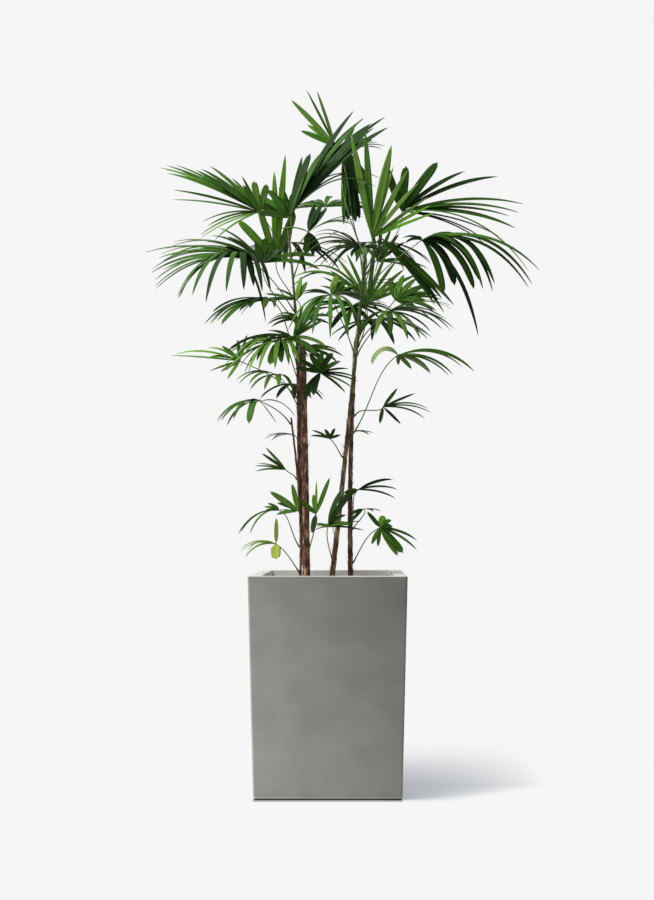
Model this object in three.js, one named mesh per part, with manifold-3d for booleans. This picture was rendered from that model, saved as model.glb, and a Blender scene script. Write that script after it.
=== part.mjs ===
// Slender lady palm in a square planter: five canes that carry fan leaves on thin stalks, soil and pot.
// Millimetres, Z up, front at -Y. The origin is the middle of the planter's underside.
import * as THREE from "three";
import Module from "manifold-3d";

const wasm = await Module();
wasm.setup();
const { Manifold, Mesh } = wasm;

// Driving sizes of the planter
const POT_WIDTH = 353; // across the rim
const POT_BASE_WIDTH = 331; // across the bottom edge, so the walls draw in
const POT_HEIGHT = 495;
const RIM_WIDTH = 28; // flat top of the wall
const POT_FLOOR = 26; // underside to the inner floor
const FOOT_HEIGHT = 3.5; // shadow gap under the walls
const FOOT_INSET = 8;
const POT_EDGE = 1.5; // eased edges
const POT_CORNER = 4; // upright corners
const SOIL_DROP = 40; // rim down to the soil

const CLEAR = 0.3; // between neighbouring pieces

// Driving sizes of the leaves
const STALK_RADIUS = 1.9; // at the cane
const STALK_TIP_RADIUS = 1.5; // at the fan
const BLADE_LEAST_THICK = 2.5;
const BLADE_THICK_SHARE = 0.0115; // of the leaflet's length
const WEB_WIDTH = 3.2; // leaflet at the edge of the joined middle
const HUB_LEAST_RADIUS = 8;
const HUB_MOST_RADIUS = 30;
const HUB_HALF_THICK = 2.4;
const KNOB_RADIUS = 8; // where the further fans of a leaf grow from its hub
const KNOB_ROOT = 3;
const SHORT_LEAFLET = 112; // straighter ones need one middle section only
const SIDE_SHORTER = 0.28; // outermost leaflets against the middle one
const STEPS = 8; // points along a leaflet
const CROSSING_STEPS = 3; // points from the hub where the fans of a leaf may cross
const LOWEST_LEAF = POT_HEIGHT + 6;

// Canes: foot, tip, the bow in x over one half wave and over a whole one, both radii
const SOIL_TOP = POT_HEIGHT - SOIL_DROP;
const CANES = {
  cane_left_front: { foot: [-53, -12], tip: [-64, -12, 1035], bow: [1, 0], radii: [8.4, 8.2] },
  cane_left_tall: { foot: [-54, 8], tip: [-99, 8, 1314], bow: [3, -5.5], radii: [6.6, 2.5] },
  cane_left_thin: { foot: [-69, -2], tip: [-91, -2, 864], bow: [9, 0], radii: [3.0, 2.3] },
  cane_right_leaning: { foot: [3, -12], tip: [86, -12, 1257], bow: [2, 0], radii: [6.8, 3.4] },
  cane_right_straight: { foot: [50, 10], tip: [62, 10, 1049], bow: [-6, 0], radii: [6.4, 4.6] },
};

// Leaves, one row each: cane, height of the joint, hub x, y, z, and the fans that
// share the hub. A fan has its heading, rise and roll in degrees, how many leaflets
// it has, its spread in degrees, and their length, width and droop.
const LF = "cane_left_front";
const LT = "cane_left_tall";
const LN = "cane_left_thin";
const RL = "cane_right_leaning";
const RS = "cane_right_straight";
const LEAVES = [
  [LT, 1235, -167, 0, 1350,
      [180, 33, 52, 5, 8, 252, 11, 0.35], [180, 43, 56, 3, 14, 174, 11, 0.25],
      [180, 61, 60, 2, 14, 100, 10, 0.2], [180, 16, 60, 2, 8, 226, 7, 0.2],
      [180, -8, 50, 5, 44, 150, 7, 0.5], [180, 82, 80, 3, 44, 84, 15, 0.1]],
  [LT, 1095, -160, 30, 1237,
      [0, 75, -80, 4, 70, 64, 15, 0.1], [180, 23, 42, 9, 34, 276, 10, 0.75],
      [180, 42, 60, 3, 18, 150, 8, 0.5], [0, 14, -50, 2, 20, 150, 16, 0.6],
      [220, 35, 20, 4, 70, 120, 17, 0.5]],
  [LT, 1120, -201, -40, 1233,
      [183, 6, 32, 5, 34, 238, 9, 0.85], [248, 8, 0, 9, 116, 228, 14, 2.5],
      [330, -52, 0, 1, 20, 166, 11, 2.8], [292, -10, 0, 1, 20, 138, 18, 2.4]],
  [LT, 1025, -136, -30, 1133,
      [186, 8, 20, 8, 60, 178, 15, 1.2], [235, 8, 0, 6, 90, 105, 15, 1.4],
      [5, 15, -20, 3, 30, 60, 12, 0.4]],
  [LF, 940, -113, -60, 1034,
      [200, 14, 14, 4, 56, 140, 13, 1.25], [192, -2, 20, 3, 40, 172, 10, 1.05],
      [250, -4, 0, 7, 110, 150, 13, 1.9], [262, -40, 0, 2, 24, 88, 18, 1],
      [345, 12, -30, 3, 40, 120, 15, 1]],
  [LF, 900, -212, 0, 997,
      [180, 7, 60, 1, 10, 178, 6, 0.1], [180, 19, 60, 1, 10, 172, 7, 0.7],
      [180, 30, 60, 2, 20, 92, 8, 0.65], [180, -16, 60, 1, 10, 78, 6, 0.15],
      [180, 64, 75, 2, 36, 62, 9, 0.2], [0, 76, -80, 1, 10, 74, 9, 0.1],
      [200, -42, 60, 2, 30, 62, 8, 0.2]],
  [LF, 880, -121, -50, 957,
      [198, 18, 10, 4, 56, 112, 12, 1.3], [265, 0, 0, 4, 90, 105, 13, 1.6]],
  [LN, 850, -164, -10, 901,
      [196, 5, 14, 3, 30, 120, 13, 1.9], [236, 8, 0, 3, 40, 118, 15, 2.3],
      [350, 10, 0, 1, 20, 100, 13, 1.55], [0, -50, 0, 1, 20, 62, 9, 0.2]],
  [LN, 720, -104, 12, 740,
      [180, 42, 80, 2, 14, 72, 8, 0.05], [180, 14, 40, 3, 22, 76, 7, 0.35]],
  [LT, 800, -87, 45, 826, [190, 12, 0, 4, 70, 75, 6, 0.8]],
  [LF, 570, -71, -60, 641,
      [180, 38, 80, 1, 30, 84, 15, 0.1], [180, 76, 80, 1, 30, 66, 14, 0.1],
      [180, 12, 60, 2, 30, 60, 10, 0.3]],
  [LN, 560, -120, 12, 644,
      [196, 3, 0, 4, 50, 124, 11, 1.6], [180, 20, 30, 3, 60, 42, 12, 0.3],
      [0, 5, 0, 2, 40, 45, 11, 0.6]],
  [LN, 500, -125, -20, 564,
      [180, 15, 20, 4, 40, 98, 9, 1.3], [270, -60, 0, 1, 20, 40, 25, 0.3],
      [180, 92, 80, 1, 20, 65, 11, 0.1]],
  [LF, 550, -30, -50, 634,
      [0, 88, -80, 1, 20, 85, 6, 0.05], [0, 68, -80, 1, 20, 92, 11, 0.05],
      [180, 60, 80, 2, 40, 55, 12, 0.1], [180, -78, 80, 1, 20, 50, 14, 0.1]],
  [RL, 520, -2, -60, 606,
      [0, 68, -60, 2, 16, 105, 15, 0.7], [0, 30, -50, 2, 30, 60, 11, 0.5],
      [0, 8, -30, 2, 20, 85, 7, 0.2], [180, 15, 60, 1, 20, 30, 9, 0.2]],
  [RS, 610, 67, -25, 691,
      [0, 28, -60, 1, 10, 94, 9, 0.45], [0, 15, -40, 1, 10, 106, 8, 0.5],
      [0, 0, -40, 1, 10, 98, 9, 0.55], [180, -10, 40, 4, 60, 45, 12, 0.8]],
  [RS, 600, 80, 30, 647,
      [180, -30, 60, 2, 30, 42, 9, 0.3], [20, 5, 0, 3, 60, 50, 9, 0.5]],
  [RS, 520, 119, -40, 602,
      [0, -12, -60, 2, 14, 100, 8, 0.6], [0, -50, -80, 2, 14, 85, 15, 0.2],
      [180, -70, 80, 2, 24, 50, 11, 0.3], [180, 52, 80, 1, 20, 55, 12, 0.1],
      [0, 50, -70, 3, 60, 36, 14, 0.6]],
  [RS, 870, 127, 0, 888,
      [0, 54, -80, 1, 20, 60, 8, 0.05], [0, 25, -60, 1, 20, 85, 8, 0.1],
      [0, 10, -40, 3, 24, 115, 7, 0.7], [0, -42, -80, 1, 20, 60, 8, 0.1],
      [180, -76, 80, 1, 20, 42, 10, 0.1]],
  [RS, 830, 161, -30, 1006,
      [0, 15, -50, 1, 20, 210, 12, 1.25], [350, 9, -45, 2, 18, 166, 8, 1.45],
      [352, 0, -40, 1, 8, 138, 8, 1.1], [350, -10, -60, 1, 10, 98, 13, 1],
      [350, -42, -60, 1, 10, 50, 14, 0.3], [180, 40, 40, 1, 12, 84, 22, 2.6],
      [270, -40, 0, 1, 10, 40, 9, 0.5]],
  [RL, 1150, 215, -60, 1267,
      [0, 21, -55, 3, 14, 238, 16, 2.95], [0, -48, -70, 1, 20, 150, 18, 2.6],
      [0, -16, -70, 1, 20, 145, 18, 2.9], [0, 8, -65, 2, 14, 180, 18, 2.7],
      [0, -36, -60, 1, 20, 276, 12, 3.6], [0, 14, -60, 3, 7, 297, 9, 1.5],
      [340, 18, -20, 3, 30, 115, 14, 1.6], [200, 20, 0, 3, 60, 50, 14, 1]],
  [RL, 1200, 173, 30, 1361,
      [0, 98, -80, 2, 28, 126, 20, 0.08], [0, 56, -80, 1, 10, 144, 20, 0.1],
      [0, 40, -60, 1, 8, 188, 13, 0.3], [0, 30, -60, 1, 8, 240, 13, 0.38],
      [0, 13, -55, 2, 6, 318, 11, 0.58], [0, 6, -50, 2, 7, 298, 13, 0.45],
      [0, -6, -50, 3, 8, 242, 6, 0.5], [350, 2, -50, 1, 10, 366, 6, 1.5]],
  [RL, 1170, 100, -40, 1277,
      [0, 101, -85, 1, 8, 262, 19, 0.08], [0, 93, -85, 1, 8, 246, 18, 0.08],
      [0, 78, -85, 1, 8, 240, 19, 0.08], [0, 64, -80, 3, 24, 185, 13, 0.15],
      [0, 31, -80, 3, 14, 172, 8, 0.12]],
  [RL, 1215, 122, -5, 1287, [350, -43, -50, 5, 10, 230, 16, 0.35]],
  [RL, 1130, 74, -85, 1240,
      [200, 18, 0, 5, 70, 105, 10, 0.8], [200, 34, 0, 5, 56, 150, 7, 1.3],
      [340, 12, 0, 3, 50, 85, 12, 0.9], [270, 0, 0, 4, 70, 60, 15, 2]],
  [RL, 1030, 91, 22, 1139,
      [90, 68, 0, 12, 124, 162, 10, 0.2], [180, 50, 60, 3, 14, 215, 9, 1.3]],
  [RL, 1010, 6, -115, 1128,
      [262, -12, 0, 6, 100, 168, 10, 2.2], [230, -20, 0, 1, 20, 130, 22, 1.6],
      [30, 45, -60, 3, 50, 65, 16, 0.2], [5, 25, -20, 2, 14, 175, 9, 0.5],
      [345, 5, 0, 3, 30, 140, 11, 0.9], [190, 20, 0, 3, 40, 75, 12, 0.8]],
  [RS, 1010, 138, -75, 1100,
      [282, -18, 0, 6, 110, 138, 13, 1.2], [340, 8, 0, 7, 50, 165, 11, 1.1],
      [0, 25, -20, 3, 30, 150, 8, 0.8]],
  [RS, 1040, 156, 15, 1145,
      [0, 40, -70, 6, 120, 85, 15, 0.3], [0, 12, -40, 5, 50, 115, 12, 0.6]],
  [LT, 1200, -49, -35, 1293,
      [0, 65, -70, 3, 30, 75, 16, 0.1], [0, -75, -80, 3, 40, 60, 16, 0.1],
      [180, 25, 20, 3, 50, 75, 8, 0.7], [350, 30, -20, 5, 60, 140, 7, 0.9]],
  [LT, 1260, -97, 22, 1342,
      [170, 50, 50, 6, 100, 105, 19, 0.3], [0, 72, -88, 2, 16, 150, 14, 0.15]],
  [LT, 1290, -89, 0, 1350,
      [0, 56, -60, 7, 18, 302, 18, 0.42], [0, 70, -60, 2, 10, 156, 20, 0.3],
      [0, 48, -40, 3, 26, 250, 7, 1]],
  [RL, 1250, 12, 65, 1530,
      [180, 47, 80, 1, 10, 168, 14, 0.05], [180, 68, 70, 2, 9, 154, 8, 0.05],
      [180, 33, 75, 2, 16, 94, 14, 0.1]],
  [RL, 1235, 36, 110, 1537,
      [0, -84, -88, 5, 14, 185, 17, 0.3], [0, -60, -80, 2, 20, 120, 15, 0.2],
      [0, 55, -60, 3, 50, 78, 15, 0.6], [0, 20, -30, 3, 40, 105, 8, 0.5]],
  [LT, 1060, -76, -25, 1136,
      [180, 20, 30, 4, 60, 82, 12, 0.3], [0, 72, -80, 2, 20, 58, 13, 0.1]],
  [LF, 985, -85, -25, 1047,
      [0, 52, -60, 5, 50, 100, 9, 0.15], [180, 20, 30, 4, 60, 70, 10, 0.4]],
  [LF, 900, -20, -70, 958,
      [0, -5, -40, 5, 80, 95, 8, 0.4], [228, -45, 0, 3, 40, 82, 16, 0.6],
      [180, 40, 60, 3, 60, 65, 14, 0.3], [0, 60, -60, 3, 60, 60, 15, 0.3]],
  [RL, 770, 2, -20, 811,
      [180, 25, 50, 2, 20, 52, 8, 0.4], [90, 60, 0, 4, 120, 35, 8, 0.3]],
  [RL, 800, 63, -35, 828, [340, 5, 0, 4, 100, 42, 8, 0.5]],
  [LT, 1190, -105, 150, 1320, [100, 15, 0, 11, 210, 200, 14, 0.9]],
  [RL, 1180, 96, 150, 1320, [80, 15, 0, 11, 210, 200, 14, 0.9]],
  [LT, 990, -126, 120, 1081, [130, 5, 0, 10, 200, 165, 14, 0.9]],
  [RS, 1030, 111, 145, 1126, [60, 5, 0, 10, 200, 175, 14, 0.9]],
  [LF, 890, -89, 125, 960, [110, 5, 0, 8, 200, 120, 13, 0.9]],
  [RL, 560, 6, 130, 604, [90, 20, 0, 6, 150, 80, 12, 0.6]],
  [LT, 1248, -14, 125, 1400, [85, 35, 0, 9, 150, 190, 15, 0.6]],
  [RS, 1000, 53, 80, 1144,
      [180, 20, 30, 5, 80, 110, 13, 0.8], [0, 10, -30, 5, 80, 120, 13, 0.9],
      [270, -50, 0, 4, 90, 100, 13, 0.9]],
  [RL, 1060, 117, 100, 1257,
      [0, 70, -80, 5, 60, 100, 9, 0.2], [0, 10, -30, 4, 50, 130, 10, 0.8]],
  [LT, 1010, -72, 50, 1104,
      [0, 30, -50, 4, 60, 90, 10, 0.6], [180, 20, 40, 4, 60, 90, 11, 0.8]],
  [LF, 930, -60, 40, 1030, [0, 10, -40, 5, 80, 95, 12, 1]],
  [LT, 1150, -131, 55, 1246,
      [0, 85, -88, 1, 8, 258, 17, 0.02], [0, 91, -88, 1, 8, 212, 16, 0.02],
      [0, 107, -88, 1, 8, 140, 18, 0.05], [180, 48, 80, 1, 30, 142, 21, 0.1],
      [0, 70, -85, 1, 8, 124, 20, 0.05]],
];

// Vectors as [x, y, z]
const add = (a, b, s = 1) => [a[0] + b[0] * s, a[1] + b[1] * s, a[2] + b[2] * s];
const dot = (a, b) => a[0] * b[0] + a[1] * b[1] + a[2] * b[2];
const cross = (a, b) => [
  a[1] * b[2] - a[2] * b[1],
  a[2] * b[0] - a[0] * b[2],
  a[0] * b[1] - a[1] * b[0],
];
const times = (a, s) => [a[0] * s, a[1] * s, a[2] * s];
const unit = (a) => times(a, 1 / Math.sqrt(dot(a, a)));
const mix = (a, b, t) => add(times(a, 1 - t), b, t);
const rad = (degrees) => (degrees * Math.PI) / 180;
const UP = [0, 0, 1];

// A repeatable chance from 0 to 1 for two whole numbers.
function chance(a, b) {
  const v = Math.sin(a * 12.9898 + b * 78.233) * 43758.5453;
  return v - Math.floor(v);
}

// Canes

// The centre of a cane at a height.
function caneAt(cane, z) {
  const t = (z - SOIL_TOP) / (cane.tip[2] - SOIL_TOP);
  const [x, y] = mix([...cane.foot, 0], cane.tip, t);
  const [half, whole] = cane.bow;
  return [x + half * Math.sin(Math.PI * t) + whole * Math.sin(2 * Math.PI * t), y, z];
}

function caneRadius(cane, z) {
  const t = (z - SOIL_TOP) / (cane.tip[2] - SOIL_TOP);
  const flare = 1.1 * Math.exp(-(z - SOIL_TOP) / 18);
  return cane.radii[0] + (cane.radii[1] - cane.radii[0]) * t + flare;
}

function canePoints(cane, count) {
  const foot = SOIL_TOP + CLEAR;
  return Array.from({ length: count + 1 }, (_, k) =>
    caneAt(cane, foot + ((cane.tip[2] - foot) * k) / count),
  );
}

// Leaves: where everything grows

// The fan's axes: along its middle leaflet, across it, and square to the blade.
function fanAxes({ heading, rise, roll }) {
  const [a, e, r] = [rad(heading), rad(rise), rad(roll)];
  const along = [Math.cos(e) * Math.cos(a), Math.cos(e) * Math.sin(a), Math.sin(e)];
  const above = [-Math.sin(e) * Math.cos(a), -Math.sin(e) * Math.sin(a), Math.cos(e)];
  const beside = cross(above, along);
  const normal = add(times(above, Math.cos(r)), beside, Math.sin(r));
  return { along, across: cross(normal, along), normal };
}

// A stalk leaves its cane steeply, bows aside by some millimetres and reaches the hub.
function stalkPoints(leaf, bow) {
  const cane = CANES[leaf.cane];
  const root = caneAt(cane, leaf.joint);
  const away = unit([leaf.hub[0] - root[0], leaf.hub[1] - root[1], 0]);
  const start = add(root, away, caneRadius(cane, leaf.joint) + STALK_RADIUS + 2 * CLEAR);
  const reach = Math.sqrt(dot(add(leaf.hub, start, -1), add(leaf.hub, start, -1)));
  const { along } = fanAxes(leaf.fans[0]);
  const aside = times(unit(cross(UP, away)), bow);
  const out = add(add(start, unit(add(away, UP, 1.5)), 0.4 * reach), aside);
  const flat = unit([along[0], along[1], 0.35 + Math.max(0, along[2])]);
  const into = add(add(leaf.hub, flat, -0.3 * reach), aside);
  return Array.from({ length: STEPS + 1 }, (_, k) => {
    const t = k / STEPS;
    const [p, q, s] = [mix(start, out, t), mix(out, into, t), mix(into, leaf.hub, t)];
    return mix(mix(p, q, t), mix(q, s, t), t);
  });
}

// One leaflet: its centre line, its full width and its side direction at each point.
function leafletLine(leaf, fan, i, tilt, sag) {
  const { along, across, normal } = fanAxes(fan);
  const t = fan.count > 1 ? (2 * i) / (fan.count - 1) - 1 : 0;
  const luck = (k) => chance(leaf.index, i + 16 * fan.place + 50 * k);
  const turn = (t * rad(fan.spread)) / 2 + (luck(0) - 0.5) * 0.2 * fan.step;
  const lift = rad(tilt);
  const flat = add(times(along, Math.cos(turn)), across, Math.sin(turn));
  const first = unit(add(times(flat, Math.cos(lift)), normal, Math.sin(lift)));
  const shorter = SIDE_SHORTER * Math.min(1, fan.spread / 200) * Math.abs(t) ** 1.6;
  const length = fan.length * (1 - shorter) * (0.88 + 0.16 * luck(1));
  const droop = Math.max(0, fan.droop * (0.75 + 0.5 * luck(2)) + sag);
  const points = [leaf.hub];
  const ways = [];
  for (let k = 0; k < STEPS; k++) {
    const way = unit(add(first, UP, -droop * ((k + 0.5) / STEPS) ** 1.4));
    ways.push(way);
    points.push(add(points[k], way, length / STEPS));
  }
  ways.push(ways[STEPS - 1]);
  const side = unit(cross(normal, first));
  let beside = side; // carried from station to station along the bend
  const sides = ways.map((way) => {
    beside = unit(add(beside, way, -dot(beside, way)));
    return beside;
  });
  const room = 0.76 * fan.step * length * 0.375; // where neighbours reach their full width
  const width = Math.min(fan.width * (0.85 + 0.3 * luck(3)), room);
  return { fan, points, sides, ways, first, length, width };
}

// The squared distance from a point to a piece of a line.
function farness(p, a, b) {
  const ab = add(b, a, -1);
  const ap = add(p, a, -1);
  const t = Math.min(1, Math.max(0, dot(ap, ab) / dot(ab, ab)));
  const away = add(ap, ab, -t);
  return dot(away, away);
}

// True where a line of some radius comes too near to one that has been placed. The fans
// of one leaf may cross near their hub.
function crowded(points, radius, placed, own, place) {
  return placed.some((line) => {
    if (line.own === own && (line.place === place || line.place === undefined)) return false;
    const from = line.own === own ? CROSSING_STEPS : 0;
    const mine = points.slice(Math.max(1, from));
    const limit = (radius + line.radius) ** 2;
    return line.points.some(
      (b, k) => k > from && mine.some((p) => farness(p, line.points[k - 1], b) < limit),
    );
  });
}

const BOWS = [0, 12, -12, 22, -22, 32, -32];
const TRIES = [
  [0, 0],
  [5, 0],
  [-5, 0],
  [0, 0.3],
  [0, -0.3],
  [9, 0.2],
  [-9, 0.1],
  [13, 0.5],
  [-13, -0.2],
];

function fanOf([heading, rise, roll, count, spread, length, width, droop], place) {
  const step = rad(spread) / Math.max(1, count - 1);
  return { place, heading, rise, roll, count, spread, step, length, width, droop };
}

// Stalks are placed first, then leaflet after leaflet, and one that finds no room is left out.
function growLeaves() {
  const leaves = LEAVES.map((row, index) => {
    const [cane, joint, x, y, z, ...fans] = row;
    return { index: index + 1, cane, joint, hub: [x, y, z], fans: fans.map(fanOf) };
  });
  const placed = Object.entries(CANES).map(([name, cane]) => ({
    own: name,
    points: canePoints(cane, 16),
    radius: cane.radii[0],
  }));
  for (const leaf of leaves) {
    const bow = BOWS.find((b) => !crowded(stalkPoints(leaf, b), 2.5, placed, leaf.index)) ?? 0;
    leaf.stalk = stalkPoints(leaf, bow);
    placed.push({ own: leaf.index, points: leaf.stalk, radius: 2.5 });
  }
  for (const leaf of leaves) {
    leaf.leaflets = [];
    const all = leaf.fans.flatMap((fan) => Array.from({ length: fan.count }, (_, i) => [fan, i]));
    for (const [fan, i] of all) {
      for (const [tilt, sag] of TRIES) {
        const line = leafletLine(leaf, fan, i, tilt, sag);
        const low = line.points.some((p) => p[2] < LOWEST_LEAF);
        const radius = 0.34 * line.width;
        if (low || crowded(line.points, radius, placed, leaf.index, fan.place)) continue;
        leaf.leaflets.push(line);
        placed.push({ own: leaf.index, place: fan.place, points: line.points, radius });
        break;
      }
    }
  }
  return leaves;
}

// Solids

// A closed body from its points and its faces, each a ring of point numbers seen from outside.
function body(points, faces) {
  const triangles = faces.flatMap((f) => f.slice(2).flatMap((_, k) => [f[0], f[k + 1], f[k + 2]]));
  const mesh = new Mesh({
    numProp: 3,
    vertProperties: new Float32Array(points.flat()),
    triVerts: new Uint32Array(triangles),
  });
  mesh.merge();
  return new Manifold(mesh);
}

// A body through rings of equally many points, closed by a flat face at each end.
function loft(rings) {
  const n = rings[0].length;
  const faces = [];
  for (let r = 1; r < rings.length; r++)
    for (let k = 0; k < n; k++) {
      const [a, b] = [(r - 1) * n + k, (r - 1) * n + ((k + 1) % n)];
      faces.push([a, b, b + n, a + n]);
    }
  faces.push(Array.from({ length: n }, (_, k) => n - 1 - k));
  faces.push(Array.from({ length: n }, (_, k) => (rings.length - 1) * n + k));
  return body(rings.flat(), faces);
}

// A round tube of some sides along a line, level at its ends where cut flat.
function tube(points, radii, sides, flatCut) {
  let side = [1, 0.1, 0]; // carried from ring to ring, so that the tube never twists
  const rings = points.map((p, k) => {
    const before = points[Math.max(0, k - 1)];
    const after = points[Math.min(points.length - 1, k + 1)];
    const way = flatCut ? UP : unit(add(after, before, -1));
    const u = unit(add(side, way, -dot(side, way)));
    side = u;
    const v = cross(way, u);
    return Array.from({ length: sides }, (_, s) => {
      const a = (2 * Math.PI * s) / sides;
      return add(add(p, u, radii[k] * Math.cos(a)), v, radii[k] * Math.sin(a));
    });
  });
  return loft(rings);
}

// A square ring with eased upright corners, half as wide as told, at a height.
function squareRing(half, z) {
  const ring = [];
  for (let corner = 0; corner < 4; corner++)
    for (const part of [0, 0.5, 1]) {
      const a = (Math.PI / 2) * (corner + part);
      const [sx, sy] = [[1, 1], [-1, 1], [-1, -1], [1, -1]][corner];
      const inner = half - POT_CORNER;
      ring.push([
        sx * inner + POT_CORNER * Math.cos(a),
        sy * inner + POT_CORNER * Math.sin(a),
        z,
      ]);
    }
  return ring;
}

// Half the planter's outer width at a height.
function potHalf(z) {
  const t = (z - FOOT_HEIGHT) / (POT_HEIGHT - FOOT_HEIGHT);
  return (POT_BASE_WIDTH + (POT_WIDTH - POT_BASE_WIDTH) * t) / 2;
}

function pot() {
  const low = FOOT_HEIGHT + POT_EDGE;
  const high = POT_HEIGHT - POT_EDGE;
  return loft([
    squareRing(POT_BASE_WIDTH / 2 - FOOT_INSET, 0),
    squareRing(POT_BASE_WIDTH / 2 - FOOT_INSET, FOOT_HEIGHT),
    squareRing(potHalf(FOOT_HEIGHT) - POT_EDGE, FOOT_HEIGHT),
    squareRing(potHalf(low), low),
    squareRing(potHalf(high), high),
    squareRing(potHalf(POT_HEIGHT) - POT_EDGE, POT_HEIGHT),
    squareRing(potHalf(POT_HEIGHT) - RIM_WIDTH, POT_HEIGHT),
    squareRing(potHalf(POT_FLOOR) - RIM_WIDTH, POT_FLOOR),
  ]);
}

function soil() {
  const low = POT_FLOOR + CLEAR;
  return loft([
    squareRing(potHalf(low) - RIM_WIDTH - CLEAR, low),
    squareRing(potHalf(SOIL_TOP) - RIM_WIDTH - CLEAR, SOIL_TOP),
  ]);
}

function caneBody(cane) {
  const points = canePoints(cane, 9);
  points.splice(1, 0, caneAt(cane, SOIL_TOP + 30));
  return tube(points, points.map((p) => caneRadius(cane, p[2])), 7, true);
}

// Where a leaflet leaves the joined middle of its fan.
function hubRadius(fan) {
  return Math.min(HUB_MOST_RADIUS, Math.max(HUB_LEAST_RADIUS, WEB_WIDTH / fan.step));
}

// The three-cornered sections of a leaflet, right edge, ridge and left edge, and its tip.
function leafletSections(leaf, line) {
  const { normal } = fanAxes(line.fan);
  const thick = Math.max(BLADE_LEAST_THICK, BLADE_THICK_SHARE * line.length);
  const section = (p, side, way, width, height) => {
    const top = unit(cross(way, side));
    const ridge = times(top, dot(top, normal) < 0 ? -height : height);
    return [add(p, side, -width / 2), add(p, ridge), add(p, side, width / 2)];
  };
  const joined = line.fan.place === 0;
  const start = joined ? hubRadius(line.fan) : KNOB_ROOT;
  const web = 0.8 * (joined ? WEB_WIDTH : Math.min(WEB_WIDTH, line.fan.step * start));
  const root = add(leaf.hub, line.first, start);
  const at = (k, share) =>
    section(line.points[k], line.sides[k], line.ways[k], line.width * share, thick);
  const middle = line.length < SHORT_LEAFLET ? [at(4, 1)] : [at(3, 1), at(6, 0.82)];
  return {
    rings: [section(root, line.sides[0], line.first, web, thick * 0.8), ...middle],
    tip: line.points[STEPS],
  };
}

// The sides of a leaflet whose points start at a number, and whose tip is told.
function leafletFaces(base, tip) {
  const faces = [];
  for (let a = base; a + 3 < tip; a += 3)
    faces.push([a, a + 3, a + 4, a + 1], [a + 1, a + 4, a + 5, a + 2], [a + 2, a + 5, a + 3, a]);
  const a = tip - 3;
  faces.push([a, tip, a + 1], [a + 1, tip, a + 2], [a + 2, tip, a]);
  return faces;
}

// One leaflet as a closed body by itself.
function leafletBody(leaf, line) {
  const { rings, tip } = leafletSections(leaf, line);
  return body([...rings.flat(), tip], [[0, 1, 2], ...leafletFaces(0, 3 * rings.length)]);
}

// The first fan of a leaf: leaflets round a thin joined middle.
function fanBody(leaf, lines) {
  const { normal } = fanAxes(lines[0].fan);
  const points = [add(leaf.hub, normal, HUB_HALF_THICK), add(leaf.hub, normal, -HUB_HALF_THICK)];
  const faces = [];
  let before = 0; // the left edge of the leaflet before
  lines.forEach((line, n) => {
    const { rings, tip } = leafletSections(leaf, line);
    const base = points.length;
    points.push(...rings.flat(), tip);
    faces.push(...leafletFaces(base, points.length - 1));
    faces.push([0, base, base + 1], [0, base + 1, base + 2], [1, base + 2, base]);
    if (n > 0) faces.push([0, before, base], [1, base, before]);
    if (n === 0) faces.push([0, 1, base]);
    if (n === lines.length - 1) faces.push([0, base + 2, 1]);
    before = base + 2;
  });
  return body(points, faces);
}

// An eight-sided knob at the hub, flatter along the blade's normal.
function knobBody(leaf) {
  const { along, across, normal } = fanAxes(leaf.fans[0]);
  const tips = [along, across, times(along, -1), times(across, -1)].map((v) =>
    add(leaf.hub, v, KNOB_RADIUS),
  );
  const [top, bottom] = [0.7, -0.7].map((s) => add(leaf.hub, normal, s * KNOB_RADIUS));
  const faces = [0, 1, 2, 3].flatMap((k) => [
    [4, k, (k + 1) % 4],
    [5, (k + 1) % 4, k],
  ]);
  return body([...tips, top, bottom], faces);
}

function stalkBody(leaf) {
  const { along } = fanAxes(leaf.fans[0]);
  const every = leaf.stalk.filter((_, k) => k % 2 === 0);
  const points = [...every, add(leaf.hub, along, 0.5 * hubRadius(leaf.fans[0]))];
  const radii = points.map((_, k) =>
    STALK_RADIUS + ((STALK_TIP_RADIUS - STALK_RADIUS) * k) / (points.length - 1),
  );
  return tube(points, radii, 3, false);
}

// Slides a stalk's foot towards its cane until only the clear gap is left.
function seat(leaf, cane) {
  const centre = caneAt(CANES[leaf.cane], leaf.joint);
  for (let round = 0; round < 5; round++) {
    const spare = stalkBody(leaf).minGap(cane, 10) - CLEAR;
    const foot = leaf.stalk[0];
    const inward = unit([centre[0] - foot[0], centre[1] - foot[1], 0]);
    leaf.stalk[0] = add(foot, inward, spare);
  }
}

// True where two bodies meet or come nearer than the clear gap.
function meets(a, b) {
  const [p, q] = [a.boundingBox(), b.boundingBox()];
  for (let k = 0; k < 3; k++)
    if (p.min[k] > q.max[k] + CLEAR || q.min[k] > p.max[k] + CLEAR) return false;
  return a.minGap(b, CLEAR) < CLEAR * 0.8;
}

// The largest body of a join, with any hollow that the join sealed filled.
function largest(joined) {
  return joined.decompose().reduce((a, b) => (b.volume() > a.volume() ? b : a));
}

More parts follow.
